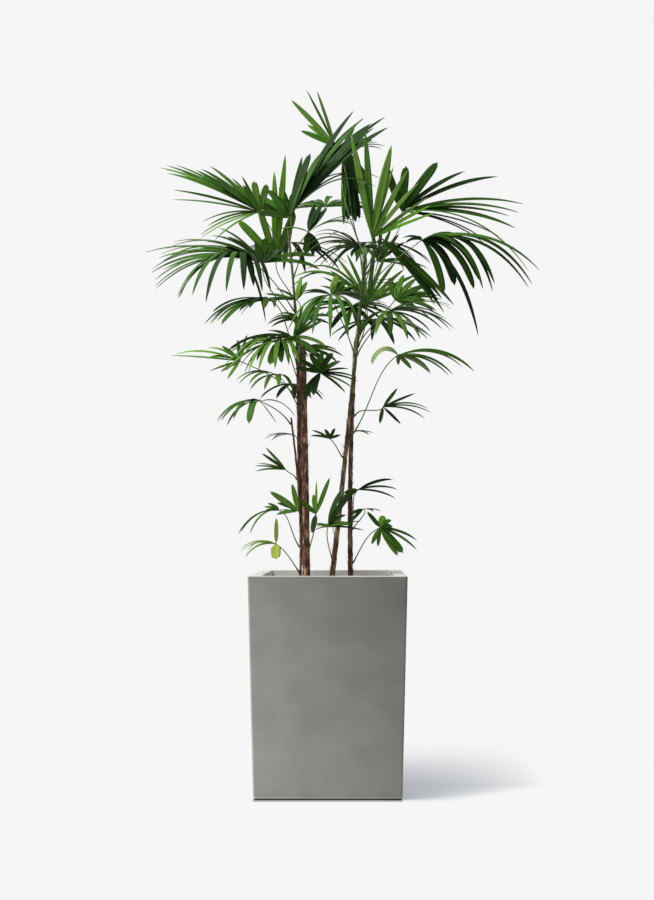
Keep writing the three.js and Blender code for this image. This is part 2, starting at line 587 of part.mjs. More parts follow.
// Every leaf as one body. A leaflet that still meets another body is left out.
function leafBodies(leaves, base, canes) {
  const bodies = [];
  for (const leaf of leaves) seat(leaf, canes[leaf.cane]);
  const others = [...base, ...Object.values(canes)];
  const stalks = leaves.map(stalkBody);
  const kept = [];
  stalks.forEach((stalk, n) => {
    const blocked = [...others, ...stalks.slice(0, n)].filter((b) => meets(stalk, b)).length;
    if (blocked) console.warn(`stalk ${n + 1} meets ${blocked}`);
  });
  let dropped = 0;
  leaves.forEach((leaf, n) => {
    const rivals = [...others, ...stalks.filter((_, k) => k !== n)];
    const mine = [];
    for (const line of leaf.leaflets) {
      const one = leafletBody(leaf, line);
      const free =
        !rivals.some((b) => meets(one, b)) &&
        !kept.some((k) => k.n !== n && meets(one, k.one)) &&
        !mine.some((m) => m.line.fan === line.fan && m.one.intersect(one).volume() > 1e-3);
      if (free) {
        mine.push({ one, line });
        kept.push({ n, one });
      } else dropped += 1;
    }
    const [first, further] = [true, false].map((is) =>
      mine.filter((m) => (m.line.fan.place === 0) === is),
    );
    const parts = [stalks[n]];
    if (first.length) parts.push(fanBody(leaf, first.map((m) => m.line)));
    if (further.length) parts.push(knobBody(leaf), ...further.map((m) => m.one));
    const joined = largest(Manifold.union(parts));
    bodies.forEach((b, k) => {
      if (meets(joined, b)) console.warn(`leaf ${n + 1} meets leaf ${k + 1}`);
    });
    bodies.push(joined);
  });
  console.warn(`leaflets kept ${kept.length}, left out ${dropped}`);
  return bodies;
}

// Materials
const MATERIALS = {
  fibreclay: new THREE.MeshStandardMaterial({ name: "fibreclay", color: 0x8f8f8b, roughness: 0.9 }),
  bark_soil: new THREE.MeshStandardMaterial({ name: "bark_soil", color: 0x3b2c22, roughness: 1 }),
  cane: new THREE.MeshStandardMaterial({ name: "cane", color: 0x5e4336, roughness: 0.9 }),
  leaf_dark: new THREE.MeshStandardMaterial({ name: "leaf_dark", color: 0x1f4a1e, roughness: 0.5 }),
  leaf_mid: new THREE.MeshStandardMaterial({ name: "leaf_mid", color: 0x32662a, roughness: 0.5 }),
  leaf_light: new THREE.MeshStandardMaterial({ name: "leaf_light", color: 0x5d8f36, roughness: 0.5 }),
};

function meshOf(name, solid, material) {
  const { vertProperties, triVerts } = solid.getMesh();
  const geometry = new THREE.BufferGeometry();
  geometry.setAttribute("position", new THREE.BufferAttribute(new Float32Array(vertProperties), 3));
  geometry.setIndex(Array.from(triVerts));
  const flat = geometry.toNonIndexed();
  flat.computeVertexNormals();
  const mesh = new THREE.Mesh(flat, material.clone());
  mesh.name = name;
  return mesh;
}

function buildPalm() {
  const palm = new THREE.Group();
  palm.name = "potted_palm";
  const base = [pot(), soil()];
  palm.add(meshOf("pot", base[0], MATERIALS.fibreclay));
  palm.add(meshOf("soil", base[1], MATERIALS.bark_soil));
  const canes = {};
  for (const [name, cane] of Object.entries(CANES)) {
    canes[name] = caneBody(cane);
    palm.add(meshOf(name, canes[name], MATERIALS.cane));
  }
  const leaves = growLeaves();
  const greens = [MATERIALS.leaf_dark, MATERIALS.leaf_mid, MATERIALS.leaf_light];
  leafBodies(leaves, base, canes).forEach((solid, n) => {
    const name = `leaf_${String(n + 1).padStart(2, "0")}`;
    palm.add(meshOf(name, solid, greens[Math.floor(3 * chance(n + 1, 400))]));
  });
  return palm;
}

export default buildPalm();
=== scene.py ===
"""Potted slender lady palm: grows its leaves, dresses its canes and planter, sets the stage."""

import math

import bpy
import numpy as np
from bpy.props import FloatProperty, FloatVectorProperty, IntProperty, PointerProperty
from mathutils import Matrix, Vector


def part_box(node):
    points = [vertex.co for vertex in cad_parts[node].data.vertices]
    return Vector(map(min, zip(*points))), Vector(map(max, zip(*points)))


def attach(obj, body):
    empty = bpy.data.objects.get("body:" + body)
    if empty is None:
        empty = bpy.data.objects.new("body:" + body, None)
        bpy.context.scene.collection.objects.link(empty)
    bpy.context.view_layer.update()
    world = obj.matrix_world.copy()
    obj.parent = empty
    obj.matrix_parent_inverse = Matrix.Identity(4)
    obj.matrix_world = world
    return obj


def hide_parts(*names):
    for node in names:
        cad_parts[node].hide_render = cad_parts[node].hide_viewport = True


bl_info = {
    "name": "Potted Lady Palm",
    "version": (1, 0, 0),
    "blender": (4, 5, 0),
    "location": "3D View > Sidebar > Palm",
    "description": "Builds the looks of a potted slender lady palm round its frame",
    "category": "Add Mesh",
}

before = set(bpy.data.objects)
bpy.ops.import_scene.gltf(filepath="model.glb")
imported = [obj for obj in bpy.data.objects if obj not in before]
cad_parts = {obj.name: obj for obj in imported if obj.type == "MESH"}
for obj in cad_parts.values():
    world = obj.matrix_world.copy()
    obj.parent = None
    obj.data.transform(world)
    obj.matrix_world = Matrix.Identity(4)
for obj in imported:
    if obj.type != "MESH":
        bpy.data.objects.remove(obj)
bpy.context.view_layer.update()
MM = 0.001
BODY = "root"
UP = np.array([0.0, 0.0, 1.0])

# Sizes of the growth rule, in millimetres, as in the frame's leaves
POT_HEIGHT = 495.0
SOIL_TOP = POT_HEIGHT - 40.0
CLEAR = 0.3
FLARE, FLARE_HEIGHT = 1.1, 18.0  # a cane's further radius at the soil, and how soon it fades
STALK_RADIUS = 1.9
WEB_WIDTH = 3.2
LOWEST_LEAF = POT_HEIGHT + 6.0
STEPS = 8  # pieces of a leaflet's or a stalk's line
CANE_STEPS = 16  # the same for a cane
CROSSING_STEPS = 3  # pieces in which the fans of one leaf may cross
STALK_ROOM = 2.5  # kept free round a stalk
LEAFLET_ROOM = 0.34  # kept free round a leaflet, against its width

# Canes: foot, tip, the bow in x over one half wave and over a whole one, both radii
CANES = {
    "cane_left_front": ((-53, -12), (-64, -12, 1035), (1, 0), (8.4, 8.2)),
    "cane_left_tall": ((-54, 8), (-99, 8, 1314), (3, -5.5), (6.6, 2.5)),
    "cane_left_thin": ((-69, -2), (-91, -2, 864), (9, 0), (3.0, 2.3)),
    "cane_right_leaning": ((3, -12), (86, -12, 1257), (2, 0), (6.8, 3.4)),
    "cane_right_straight": ((50, 10), (62, 10, 1049), (-6, 0), (6.4, 4.6)),
}

# Leaves, one row each: cane, height of the joint, hub x, y, z, and the fans that
# share the hub. A fan has its heading, rise and roll in degrees, how many leaflets
# it has, its spread in degrees, and their length, width and droop.
LF = "cane_left_front"
LT = "cane_left_tall"
LN = "cane_left_thin"
RL = "cane_right_leaning"
RS = "cane_right_straight"
LEAVES = [
    (LT, 1235, -167, 0, 1350,
        (180, 33, 52, 5, 8, 252, 11, 0.35), (180, 43, 56, 3, 14, 174, 11, 0.25),
        (180, 61, 60, 2, 14, 100, 10, 0.2), (180, 16, 60, 2, 8, 226, 7, 0.2),
        (180, -8, 50, 5, 44, 150, 7, 0.5), (180, 82, 80, 3, 44, 84, 15, 0.1)),
    (LT, 1095, -160, 30, 1237,
        (0, 75, -80, 4, 70, 64, 15, 0.1), (180, 23, 42, 9, 34, 276, 10, 0.75),
        (180, 42, 60, 3, 18, 150, 8, 0.5), (0, 14, -50, 2, 20, 150, 16, 0.6),
        (220, 35, 20, 4, 70, 120, 17, 0.5)),
    (LT, 1120, -201, -40, 1233,
        (183, 6, 32, 5, 34, 238, 9, 0.85), (248, 8, 0, 9, 116, 228, 14, 2.5),
        (330, -52, 0, 1, 20, 166, 11, 2.8), (292, -10, 0, 1, 20, 138, 18, 2.4)),
    (LT, 1025, -136, -30, 1133,
        (186, 8, 20, 8, 60, 178, 15, 1.2), (235, 8, 0, 6, 90, 105, 15, 1.4),
        (5, 15, -20, 3, 30, 60, 12, 0.4)),
    (LF, 940, -113, -60, 1034,
        (200, 14, 14, 4, 56, 140, 13, 1.25), (192, -2, 20, 3, 40, 172, 10, 1.05),
        (250, -4, 0, 7, 110, 150, 13, 1.9), (262, -40, 0, 2, 24, 88, 18, 1),
        (345, 12, -30, 3, 40, 120, 15, 1)),
    (LF, 900, -212, 0, 997,
        (180, 7, 60, 1, 10, 178, 6, 0.1), (180, 19, 60, 1, 10, 172, 7, 0.7),
        (180, 30, 60, 2, 20, 92, 8, 0.65), (180, -16, 60, 1, 10, 78, 6, 0.15),
        (180, 64, 75, 2, 36, 62, 9, 0.2), (0, 76, -80, 1, 10, 74, 9, 0.1),
        (200, -42, 60, 2, 30, 62, 8, 0.2)),
    (LF, 880, -121, -50, 957,
        (198, 18, 10, 4, 56, 112, 12, 1.3), (265, 0, 0, 4, 90, 105, 13, 1.6)),
    (LN, 850, -164, -10, 901,
        (196, 5, 14, 3, 30, 120, 13, 1.9), (236, 8, 0, 3, 40, 118, 15, 2.3),
        (350, 10, 0, 1, 20, 100, 13, 1.55), (0, -50, 0, 1, 20, 62, 9, 0.2)),
    (LN, 720, -104, 12, 740,
        (180, 42, 80, 2, 14, 72, 8, 0.05), (180, 14, 40, 3, 22, 76, 7, 0.35)),
    (LT, 800, -87, 45, 826, (190, 12, 0, 4, 70, 75, 6, 0.8)),
    (LF, 570, -71, -60, 641,
        (180, 38, 80, 1, 30, 84, 15, 0.1), (180, 76, 80, 1, 30, 66, 14, 0.1),
        (180, 12, 60, 2, 30, 60, 10, 0.3)),
    (LN, 560, -120, 12, 644,
        (196, 3, 0, 4, 50, 124, 11, 1.6), (180, 20, 30, 3, 60, 42, 12, 0.3),
        (0, 5, 0, 2, 40, 45, 11, 0.6)),
    (LN, 500, -125, -20, 564,
        (180, 15, 20, 4, 40, 98, 9, 1.3), (270, -60, 0, 1, 20, 40, 25, 0.3),
        (180, 92, 80, 1, 20, 65, 11, 0.1)),
    (LF, 550, -30, -50, 634,
        (0, 88, -80, 1, 20, 85, 6, 0.05), (0, 68, -80, 1, 20, 92, 11, 0.05),
        (180, 60, 80, 2, 40, 55, 12, 0.1), (180, -78, 80, 1, 20, 50, 14, 0.1)),
    (RL, 520, -2, -60, 606,
        (0, 68, -60, 2, 16, 105, 15, 0.7), (0, 30, -50, 2, 30, 60, 11, 0.5),
        (0, 8, -30, 2, 20, 85, 7, 0.2), (180, 15, 60, 1, 20, 30, 9, 0.2)),
    (RS, 610, 67, -25, 691,
        (0, 28, -60, 1, 10, 94, 9, 0.45), (0, 15, -40, 1, 10, 106, 8, 0.5),
        (0, 0, -40, 1, 10, 98, 9, 0.55), (180, -10, 40, 4, 60, 45, 12, 0.8)),
    (RS, 600, 80, 30, 647,
        (180, -30, 60, 2, 30, 42, 9, 0.3), (20, 5, 0, 3, 60, 50, 9, 0.5)),
    (RS, 520, 119, -40, 602,
        (0, -12, -60, 2, 14, 100, 8, 0.6), (0, -50, -80, 2, 14, 85, 15, 0.2),
        (180, -70, 80, 2, 24, 50, 11, 0.3), (180, 52, 80, 1, 20, 55, 12, 0.1),
        (0, 50, -70, 3, 60, 36, 14, 0.6)),
    (RS, 870, 127, 0, 888,
        (0, 54, -80, 1, 20, 60, 8, 0.05), (0, 25, -60, 1, 20, 85, 8, 0.1),
        (0, 10, -40, 3, 24, 115, 7, 0.7), (0, -42, -80, 1, 20, 60, 8, 0.1),
        (180, -76, 80, 1, 20, 42, 10, 0.1)),
    (RS, 830, 161, -30, 1006,
        (0, 15, -50, 1, 20, 210, 12, 1.25), (350, 9, -45, 2, 18, 166, 8, 1.45),
        (352, 0, -40, 1, 8, 138, 8, 1.1), (350, -10, -60, 1, 10, 98, 13, 1),
        (350, -42, -60, 1, 10, 50, 14, 0.3), (180, 40, 40, 1, 12, 84, 22, 2.6),
        (270, -40, 0, 1, 10, 40, 9, 0.5)),
    (RL, 1150, 215, -60, 1267,
        (0, 21, -55, 3, 14, 238, 16, 2.95), (0, -48, -70, 1, 20, 150, 18, 2.6),
        (0, -16, -70, 1, 20, 145, 18, 2.9), (0, 8, -65, 2, 14, 180, 18, 2.7),
        (0, -36, -60, 1, 20, 276, 12, 3.6), (0, 14, -60, 3, 7, 297, 9, 1.5),
        (340, 18, -20, 3, 30, 115, 14, 1.6), (200, 20, 0, 3, 60, 50, 14, 1)),
    (RL, 1200, 173, 30, 1361,
        (0, 98, -80, 2, 28, 126, 20, 0.08), (0, 56, -80, 1, 10, 144, 20, 0.1),
        (0, 40, -60, 1, 8, 188, 13, 0.3), (0, 30, -60, 1, 8, 240, 13, 0.38),
        (0, 13, -55, 2, 6, 318, 11, 0.58), (0, 6, -50, 2, 7, 298, 13, 0.45),
        (0, -6, -50, 3, 8, 242, 6, 0.5), (350, 2, -50, 1, 10, 366, 6, 1.5)),
    (RL, 1170, 100, -40, 1277,
        (0, 101, -85, 1, 8, 262, 19, 0.08), (0, 93, -85, 1, 8, 246, 18, 0.08),
        (0, 78, -85, 1, 8, 240, 19, 0.08), (0, 64, -80, 3, 24, 185, 13, 0.15),
        (0, 31, -80, 3, 14, 172, 8, 0.12)),
    (RL, 1215, 122, -5, 1287, (350, -43, -50, 5, 10, 230, 16, 0.35)),
    (RL, 1130, 74, -85, 1240,
        (200, 18, 0, 5, 70, 105, 10, 0.8), (200, 34, 0, 5, 56, 150, 7, 1.3),
        (340, 12, 0, 3, 50, 85, 12, 0.9), (270, 0, 0, 4, 70, 60, 15, 2)),
    (RL, 1030, 91, 22, 1139,
        (90, 68, 0, 12, 124, 162, 10, 0.2), (180, 50, 60, 3, 14, 215, 9, 1.3)),
    (RL, 1010, 6, -115, 1128,
        (262, -12, 0, 6, 100, 168, 10, 2.2), (230, -20, 0, 1, 20, 130, 22, 1.6),
        (30, 45, -60, 3, 50, 65, 16, 0.2), (5, 25, -20, 2, 14, 175, 9, 0.5),
        (345, 5, 0, 3, 30, 140, 11, 0.9), (190, 20, 0, 3, 40, 75, 12, 0.8)),
    (RS, 1010, 138, -75, 1100,
        (282, -18, 0, 6, 110, 138, 13, 1.2), (340, 8, 0, 7, 50, 165, 11, 1.1),
        (0, 25, -20, 3, 30, 150, 8, 0.8)),
    (RS, 1040, 156, 15, 1145,
        (0, 40, -70, 6, 120, 85, 15, 0.3), (0, 12, -40, 5, 50, 115, 12, 0.6)),
    (LT, 1200, -49, -35, 1293,
        (0, 65, -70, 3, 30, 75, 16, 0.1), (0, -75, -80, 3, 40, 60, 16, 0.1),
        (180, 25, 20, 3, 50, 75, 8, 0.7), (350, 30, -20, 5, 60, 140, 7, 0.9)),
    (LT, 1260, -97, 22, 1342,
        (170, 50, 50, 6, 100, 105, 19, 0.3), (0, 72, -88, 2, 16, 150, 14, 0.15)),
    (LT, 1290, -89, 0, 1350,
        (0, 56, -60, 7, 18, 302, 18, 0.42), (0, 70, -60, 2, 10, 156, 20, 0.3),
        (0, 48, -40, 3, 26, 250, 7, 1)),
    (RL, 1250, 12, 65, 1530,
        (180, 47, 80, 1, 10, 168, 14, 0.05), (180, 68, 70, 2, 9, 154, 8, 0.05),
        (180, 33, 75, 2, 16, 94, 14, 0.1)),
    (RL, 1235, 36, 110, 1537,
        (0, -84, -88, 5, 14, 185, 17, 0.3), (0, -60, -80, 2, 20, 120, 15, 0.2),
        (0, 55, -60, 3, 50, 78, 15, 0.6), (0, 20, -30, 3, 40, 105, 8, 0.5)),
    (LT, 1060, -76, -25, 1136,
        (180, 20, 30, 4, 60, 82, 12, 0.3), (0, 72, -80, 2, 20, 58, 13, 0.1)),
    (LF, 985, -85, -25, 1047,
        (0, 52, -60, 5, 50, 100, 9, 0.15), (180, 20, 30, 4, 60, 70, 10, 0.4)),
    (LF, 900, -20, -70, 958,
        (0, -5, -40, 5, 80, 95, 8, 0.4), (228, -45, 0, 3, 40, 82, 16, 0.6),
        (180, 40, 60, 3, 60, 65, 14, 0.3), (0, 60, -60, 3, 60, 60, 15, 0.3)),
    (RL, 770, 2, -20, 811,
        (180, 25, 50, 2, 20, 52, 8, 0.4), (90, 60, 0, 4, 120, 35, 8, 0.3)),
    (RL, 800, 63, -35, 828, (340, 5, 0, 4, 100, 42, 8, 0.5)),
    (LT, 1190, -105, 150, 1320, (100, 15, 0, 11, 210, 200, 14, 0.9)),
    (RL, 1180, 96, 150, 1320, (80, 15, 0, 11, 210, 200, 14, 0.9)),
    (LT, 990, -126, 120, 1081, (130, 5, 0, 10, 200, 165, 14, 0.9)),
    (RS, 1030, 111, 145, 1126, (60, 5, 0, 10, 200, 175, 14, 0.9)),
    (LF, 890, -89, 125, 960, (110, 5, 0, 8, 200, 120, 13, 0.9)),
    (RL, 560, 6, 130, 604, (90, 20, 0, 6, 150, 80, 12, 0.6)),
    (LT, 1248, -14, 125, 1400, (85, 35, 0, 9, 150, 190, 15, 0.6)),
    (RS, 1000, 53, 80, 1144,
        (180, 20, 30, 5, 80, 110, 13, 0.8), (0, 10, -30, 5, 80, 120, 13, 0.9),
        (270, -50, 0, 4, 90, 100, 13, 0.9)),
    (RL, 1060, 117, 100, 1257,
        (0, 70, -80, 5, 60, 100, 9, 0.2), (0, 10, -30, 4, 50, 130, 10, 0.8)),
    (LT, 1010, -72, 50, 1104,
        (0, 30, -50, 4, 60, 90, 10, 0.6), (180, 20, 40, 4, 60, 90, 11, 0.8)),
    (LF, 930, -60, 40, 1030, (0, 10, -40, 5, 80, 95, 12, 1)),
    (LT, 1150, -131, 55, 1246,
        (0, 85, -88, 1, 8, 258, 17, 0.02), (0, 91, -88, 1, 8, 212, 16, 0.02),
        (0, 107, -88, 1, 8, 140, 18, 0.05), (180, 48, 80, 1, 30, 142, 21, 0.1),
        (0, 70, -85, 1, 8, 124, 20, 0.05)),
]

# The greens each leaf mostly takes, by leaf number. They follow how dark or light each leaf looks
# in place, so they hold its own green together with painted shade (night, deep) and a painted grey
# sheen (dull). The others take mid green.
TONES = {
    "night": (32,),
    "deep": (3, 15, 16, 19, 21, 22, 24, 30, 31, 34, 37, 40, 41, 42, 43, 44, 46, 47, 48, 49, 50),
    "bright": (6, 7, 51),
    "lime": (13,),
    "dull": (2, 25),
    "fresh": (5, 23, 33),
    "pale": (20,),
}


def metres(name, description, default):
    """A length for the panel."""
    return FloatProperty(name=name, description=description, default=default, unit="LENGTH")


class PalmPlanter(bpy.types.PropertyGroup):
    """Sizes and colours of the planter and its soil."""

    width: metres("Rim width", "Across the rim", 0.353)
    base_width: metres("Base width", "Across the bottom edge", 0.331)
    height: metres("Height", "Floor to rim", POT_HEIGHT * MM)
    rim: metres("Rim thickness", "Flat top of the wall", 0.028)
    edge: metres("Edge radius", "Eased edges of the wall", 0.0007)
    chips: IntProperty(
        name="Bark chips", description="Chips for each square metre", default=14000
    )
    chip_size: metres("Chip size", "Length of a bark chip", 0.011)
    grey: FloatVectorProperty(
        name="Fibreclay", description="Main grey", default=(0.305, 0.303, 0.285), subtype="COLOR"
    )


class PalmCanes(bpy.types.PropertyGroup):
    """Sizes of the fibrous canes."""

    sheath: metres("Sheath step", "Length of one old leaf sheath", 0.038)
    relief: metres("Sheath relief", "Rise of a sheath's edge", 0.0008)
    fibres: IntProperty(
        name="Fibres", description="Loose fibres for each square metre", default=9000
    )
    fibre_length: metres("Fibre length", "Length of a loose fibre", 0.02)
    tufts: IntProperty(
        name="Tufts", description="Stiff fibre ends for each square metre", default=1100
    )
    tuft_length: metres("Tuft length", "Length of a stiff fibre end", 0.012)


class PalmLeaves(bpy.types.PropertyGroup):
    """Sizes of the leaflets' blades."""

    thickness: metres("Blade thickness", "Leaflet thickness", 0.0006)
    fold: FloatProperty(
        name="Fold", description="Rise of a leaflet's edges against half its width", default=0.32
    )
    stations: IntProperty(
        name="Stations", description="Rows of points along a leaflet", default=15
    )


class PalmStage(bpy.types.PropertyGroup):
    """Light and camera."""

    backdrop: FloatProperty(name="Backdrop", description="Brightness behind it", default=0.92)
    dome_low: FloatProperty(name="Dome, dark side", description="Even light, least", default=0.16)
    dome_high: FloatProperty(name="Dome, bright side", description="Even light, most", default=0.95)
    bounce: FloatProperty(name="Bounce", description="Light back from the floor", default=0.5)
    paper: FloatProperty(name="Paper", description="Reflectance of the floor", default=0.48)
    shadow: FloatProperty(name="Shadow", description="Share of lit floor at most", default=0.68)
    key: FloatProperty(
        name="Key light", description="Soft light at the upper left", default=175.0, unit="POWER"
    )
    back: FloatProperty(
        name="Back light", description="Soft light from behind", default=30.0, unit="POWER"
    )
    lens: FloatProperty(
        name="Lens", description="Focal length", default=41.8, subtype="DISTANCE_CAMERA"
    )


def linear(code):
    """The linear colour of an sRGB hex code."""
    parts = [int(code[i : i + 2], 16) / 255 for i in (1, 3, 5)]
    light = [c / 12.92 if c <= 0.04045 else ((c + 0.055) / 1.055) ** 2.4 for c in parts]
    return (*light, 1.0)


# Nodes


def add(tree, kind, inputs=None, **settings):
    """Adds one node with its settings, and fills or links its inputs."""
    node = tree.nodes.new(kind)
    for name, value in settings.items():
        setattr(node, name, value)
    for key, value in (inputs or {}).items():
        if isinstance(value, bpy.types.NodeSocket):
            tree.links.new(value, node.inputs[key])
        else:
            node.inputs[key].default_value = value
    return node


def ramp(tree, value, low, high, first=0.0, last=1.0):
    """A straight change from first to last while a value goes from low to high."""
    ends = {"From Min": low, "From Max": high, "To Min": first, "To Max": last}
    return add(tree, "ShaderNodeMapRange", {"Value": value, **ends}).outputs[0]


def maths(tree, kind, a, b=0.0):
    return add(tree, "ShaderNodeMath", {0: a, 1: b}, operation=kind).outputs[0]


def vectors(tree, kind, *values):
    node = add(tree, "ShaderNodeVectorMath", dict(enumerate(values)), operation=kind)
    return node.outputs["Value" if kind == "DOT_PRODUCT" else "Vector"]


def noise(tree, place, scale, detail, roughness=0.5):
    """Clouds from 0 to 1."""
    looks = {"Scale": scale, "Detail": detail, "Roughness": roughness}
    return add(tree, "ShaderNodeTexNoise", {"Vector": place, **looks}).outputs["Fac"]


def blend(tree, share, first, second):
    """Two colours mixed."""
    inputs = {0: share, 6: first, 7: second}
    return add(tree, "ShaderNodeMix", inputs, data_type="RGBA").outputs[2]


def xyz(tree, vector):
    """The three numbers of a vector."""
    return list(add(tree, "ShaderNodeSeparateXYZ", {0: vector}).outputs)


def relief(tree, shader, height, strength, distance):
    """Gives a skin a fine relief."""
    inputs = {"Height": height, "Strength": strength, "Distance": distance}
    tree.links.new(add(tree, "ShaderNodeBump", inputs).outputs[0], shader.inputs["Normal"])


def new_material(name, roughness, **shader):
    """A material with its shader, ready for colour and bump."""
    material = bpy.data.materials.new(name)
    material.use_nodes = True
    tree = material.node_tree
    principled = tree.nodes["Principled BSDF"]
    principled.inputs["Roughness"].default_value = roughness
    for key, value in shader.items():
        principled.inputs[key.replace("_", " ")].default_value = value
    return material, tree, principled


def ring_faces(count, n, base=0):
    """The faces of a closed skin: between its rings of n points, then its two ends."""
    faces = []
    for start in range(base, base + (count - 1) * n, n):
        for j in range(n):
            a, b = start + j, start + (j + 1) % n
            faces.append((a, b, b + n, a + n))
    faces.append(tuple(reversed(range(base, base + n))))
    faces.append(tuple(range(base + (count - 1) * n, base + count * n)))
    return faces


def mesh_piece(name, points, faces, materials, picks=None, uvs=None, smooth=True):
    """A mesh object at the origin from points in metres."""
    mesh = bpy.data.meshes.new(name)
    mesh.from_pydata([tuple(p) for p in points], [], faces)
    for material in materials:
        mesh.materials.append(material)
    if picks is not None:
        mesh.polygons.foreach_set("material_index", picks)
    if uvs is not None:
        layer = mesh.uv_layers.new(name="along")
        corners = np.empty(len(mesh.loops), dtype=np.int32)
        mesh.loops.foreach_get("vertex_index", corners)
        layer.data.foreach_set("uv", np.asarray(uvs, dtype=np.float32)[corners].ravel())
    mesh.polygons.foreach_set("use_smooth", [smooth] * len(faces))
    mesh.update()
    piece = bpy.data.objects.new(name, mesh)
    bpy.context.scene.collection.objects.link(piece)
    return piece


def baked(piece, name):
    """The plain mesh that a piece's modifiers give, as a new piece at the origin."""
    bpy.context.view_layer.update()
    evaluated = piece.evaluated_get(bpy.context.evaluated_depsgraph_get())
    mesh = bpy.data.meshes.new_from_object(evaluated)
    result = bpy.data.objects.new(name, mesh)
    bpy.context.scene.collection.objects.link(result)
    piece.modifiers.clear()
    return result


def grown_over(piece, tree, values, name):
    """Runs a node tree on a piece and returns what it grows as a plain mesh."""
    modifier = piece.modifiers.new(name, "NODES")
    modifier.node_group = tree
    for item in tree.interface.items_tree:
        if item.item_type == "SOCKET" and item.in_out == "INPUT" and item.name in values:
            modifier[item.identifier] = values[item.name]
    return baked(piece, name)


def node_tree(name, *numbers):
    """A geometry tree with a mesh in and out, a seed and other numbers in."""
    tree = bpy.data.node_groups.new(name, "GeometryNodeTree")
    tree.interface.new_socket("Geometry", in_out="INPUT", socket_type="NodeSocketGeometry")
    for key in numbers:
        tree.interface.new_socket(key, in_out="INPUT", socket_type="NodeSocketFloat")
    tree.interface.new_socket("Seed", in_out="INPUT", socket_type="NodeSocketInt")
    tree.interface.new_socket("Geometry", in_out="OUTPUT", socket_type="NodeSocketGeometry")
    return tree, add(tree, "NodeGroupInput"), add(tree, "NodeGroupOutput")


def strewn_points(tree, inlet):
    """Points over the mesh that comes in, by the tree's density and seed."""
    inputs = {key: inlet.outputs[key] for key in ("Density", "Seed")}
    inputs["Mesh"] = inlet.outputs["Geometry"]
    return add(tree, "GeometryNodeDistributePointsOnFaces", inputs)


def random_vector(tree, low, high, seed):
    inputs = {0: low, 1: high, "Seed": seed}
    return add(tree, "FunctionNodeRandomValue", inputs, data_type="FLOAT_VECTOR").outputs[0]


def put_on(tree, places, material, outlet):
    """Puts a shape on each point, as real geometry in its material, and sends it out."""
    placed = add(tree, "GeometryNodeInstanceOnPoints", places)
    real = add(tree, "GeometryNodeRealizeInstances", {0: placed.outputs[0]})
    done = add(tree, "GeometryNodeSetMaterial", {0: real.outputs[0], "Material": material})
    tree.links.new(done.outputs[0], outlet.inputs[0])


# Growth


def chance(a, b):
    """A repeatable chance from 0 to 1 for two whole numbers."""
    v = math.sin(a * 12.9898 + b * 78.233) * 43758.5453
    return v - math.floor(v)


def unit(v):
    return v / math.sqrt(float(np.dot(v, v)))


def cane_at(name, z):
    """The centre of a cane at a height."""
    foot, tip, (half, whole), _ = CANES[name]
    t = (z - SOIL_TOP) / (tip[2] - SOIL_TOP)
    x = foot[0] * (1 - t) + tip[0] * t
    x += half * math.sin(math.pi * t) + whole * math.sin(2 * math.pi * t)
    return np.array([x, foot[1] * (1 - t) + tip[1] * t, z])


def cane_radius(name, z):
    _, tip, _, radii = CANES[name]
    t = (z - SOIL_TOP) / (tip[2] - SOIL_TOP)
    flare = FLARE * math.exp(-(z - SOIL_TOP) / FLARE_HEIGHT)
    return radii[0] + (radii[1] - radii[0]) * t + flare


def cane_points(name, count):
    foot, top = SOIL_TOP + CLEAR, CANES[name][1][2]
    return [cane_at(name, foot + (top - foot) * k / count) for k in range(count + 1)]


class Fan:
    """A spread of leaflets round a hub, with its axes."""

    def __init__(self, heading, rise, roll, count, spread, length, width, droop):
        self.count, self.spread, self.length = count, spread, length
        self.width, self.droop = width, droop
        self.step = math.radians(spread / max(1, count - 1))
        a, e, r = (math.radians(v) for v in (heading, rise, roll))
        flat = np.array([math.cos(a), math.sin(a), 0.0])
        self.along = flat * math.cos(e) + UP * math.sin(e)
        above = UP * math.cos(e) - flat * math.sin(e)
        self.normal = above * math.cos(r) + np.cross(above, self.along) * math.sin(r)
        self.across = np.cross(self.normal, self.along)


# A stalk's curve: how steeply it leaves the cane and, at least, reaches the hub, and how far
# it runs straight on there, against the distance
STALK_STEEP, HUB_STEEP = 1.5, 0.35
STALK_HANDLES = (0.4, 0.3)

# How leaflets differ: the least share and the further chance of their length, droop and width
LENGTH_LUCK = (0.88, 0.16)
DROOP_LUCK = (0.75, 0.5)
WIDTH_LUCK = (0.85, 0.3)
TURN_LUCK = 0.2  # against the angle between two neighbours
DROOP_POWER = 1.4  # how late along a leaflet its droop shows
SIDE_SHORTER, SIDE_POWER = 0.28, 1.6  # how much shorter a wide fan's outermost leaflets are
WIDE_SPREAD = 200  # degrees
WIDEST_AT, NEIGHBOUR_SHARE = 0.375, 0.76  # where a leaflet is widest, and its share of the gap

# Numbers that keep the draws of chance apart: leaflets of two fans, and draws for one leaflet
FAN_NUMBERS, DRAW_NUMBERS = 16, 50
TWIST_DRAW, SKIN_DRAW = 700, 900


def lucky(span, luck):
    least, further = span
    return least + further * luck


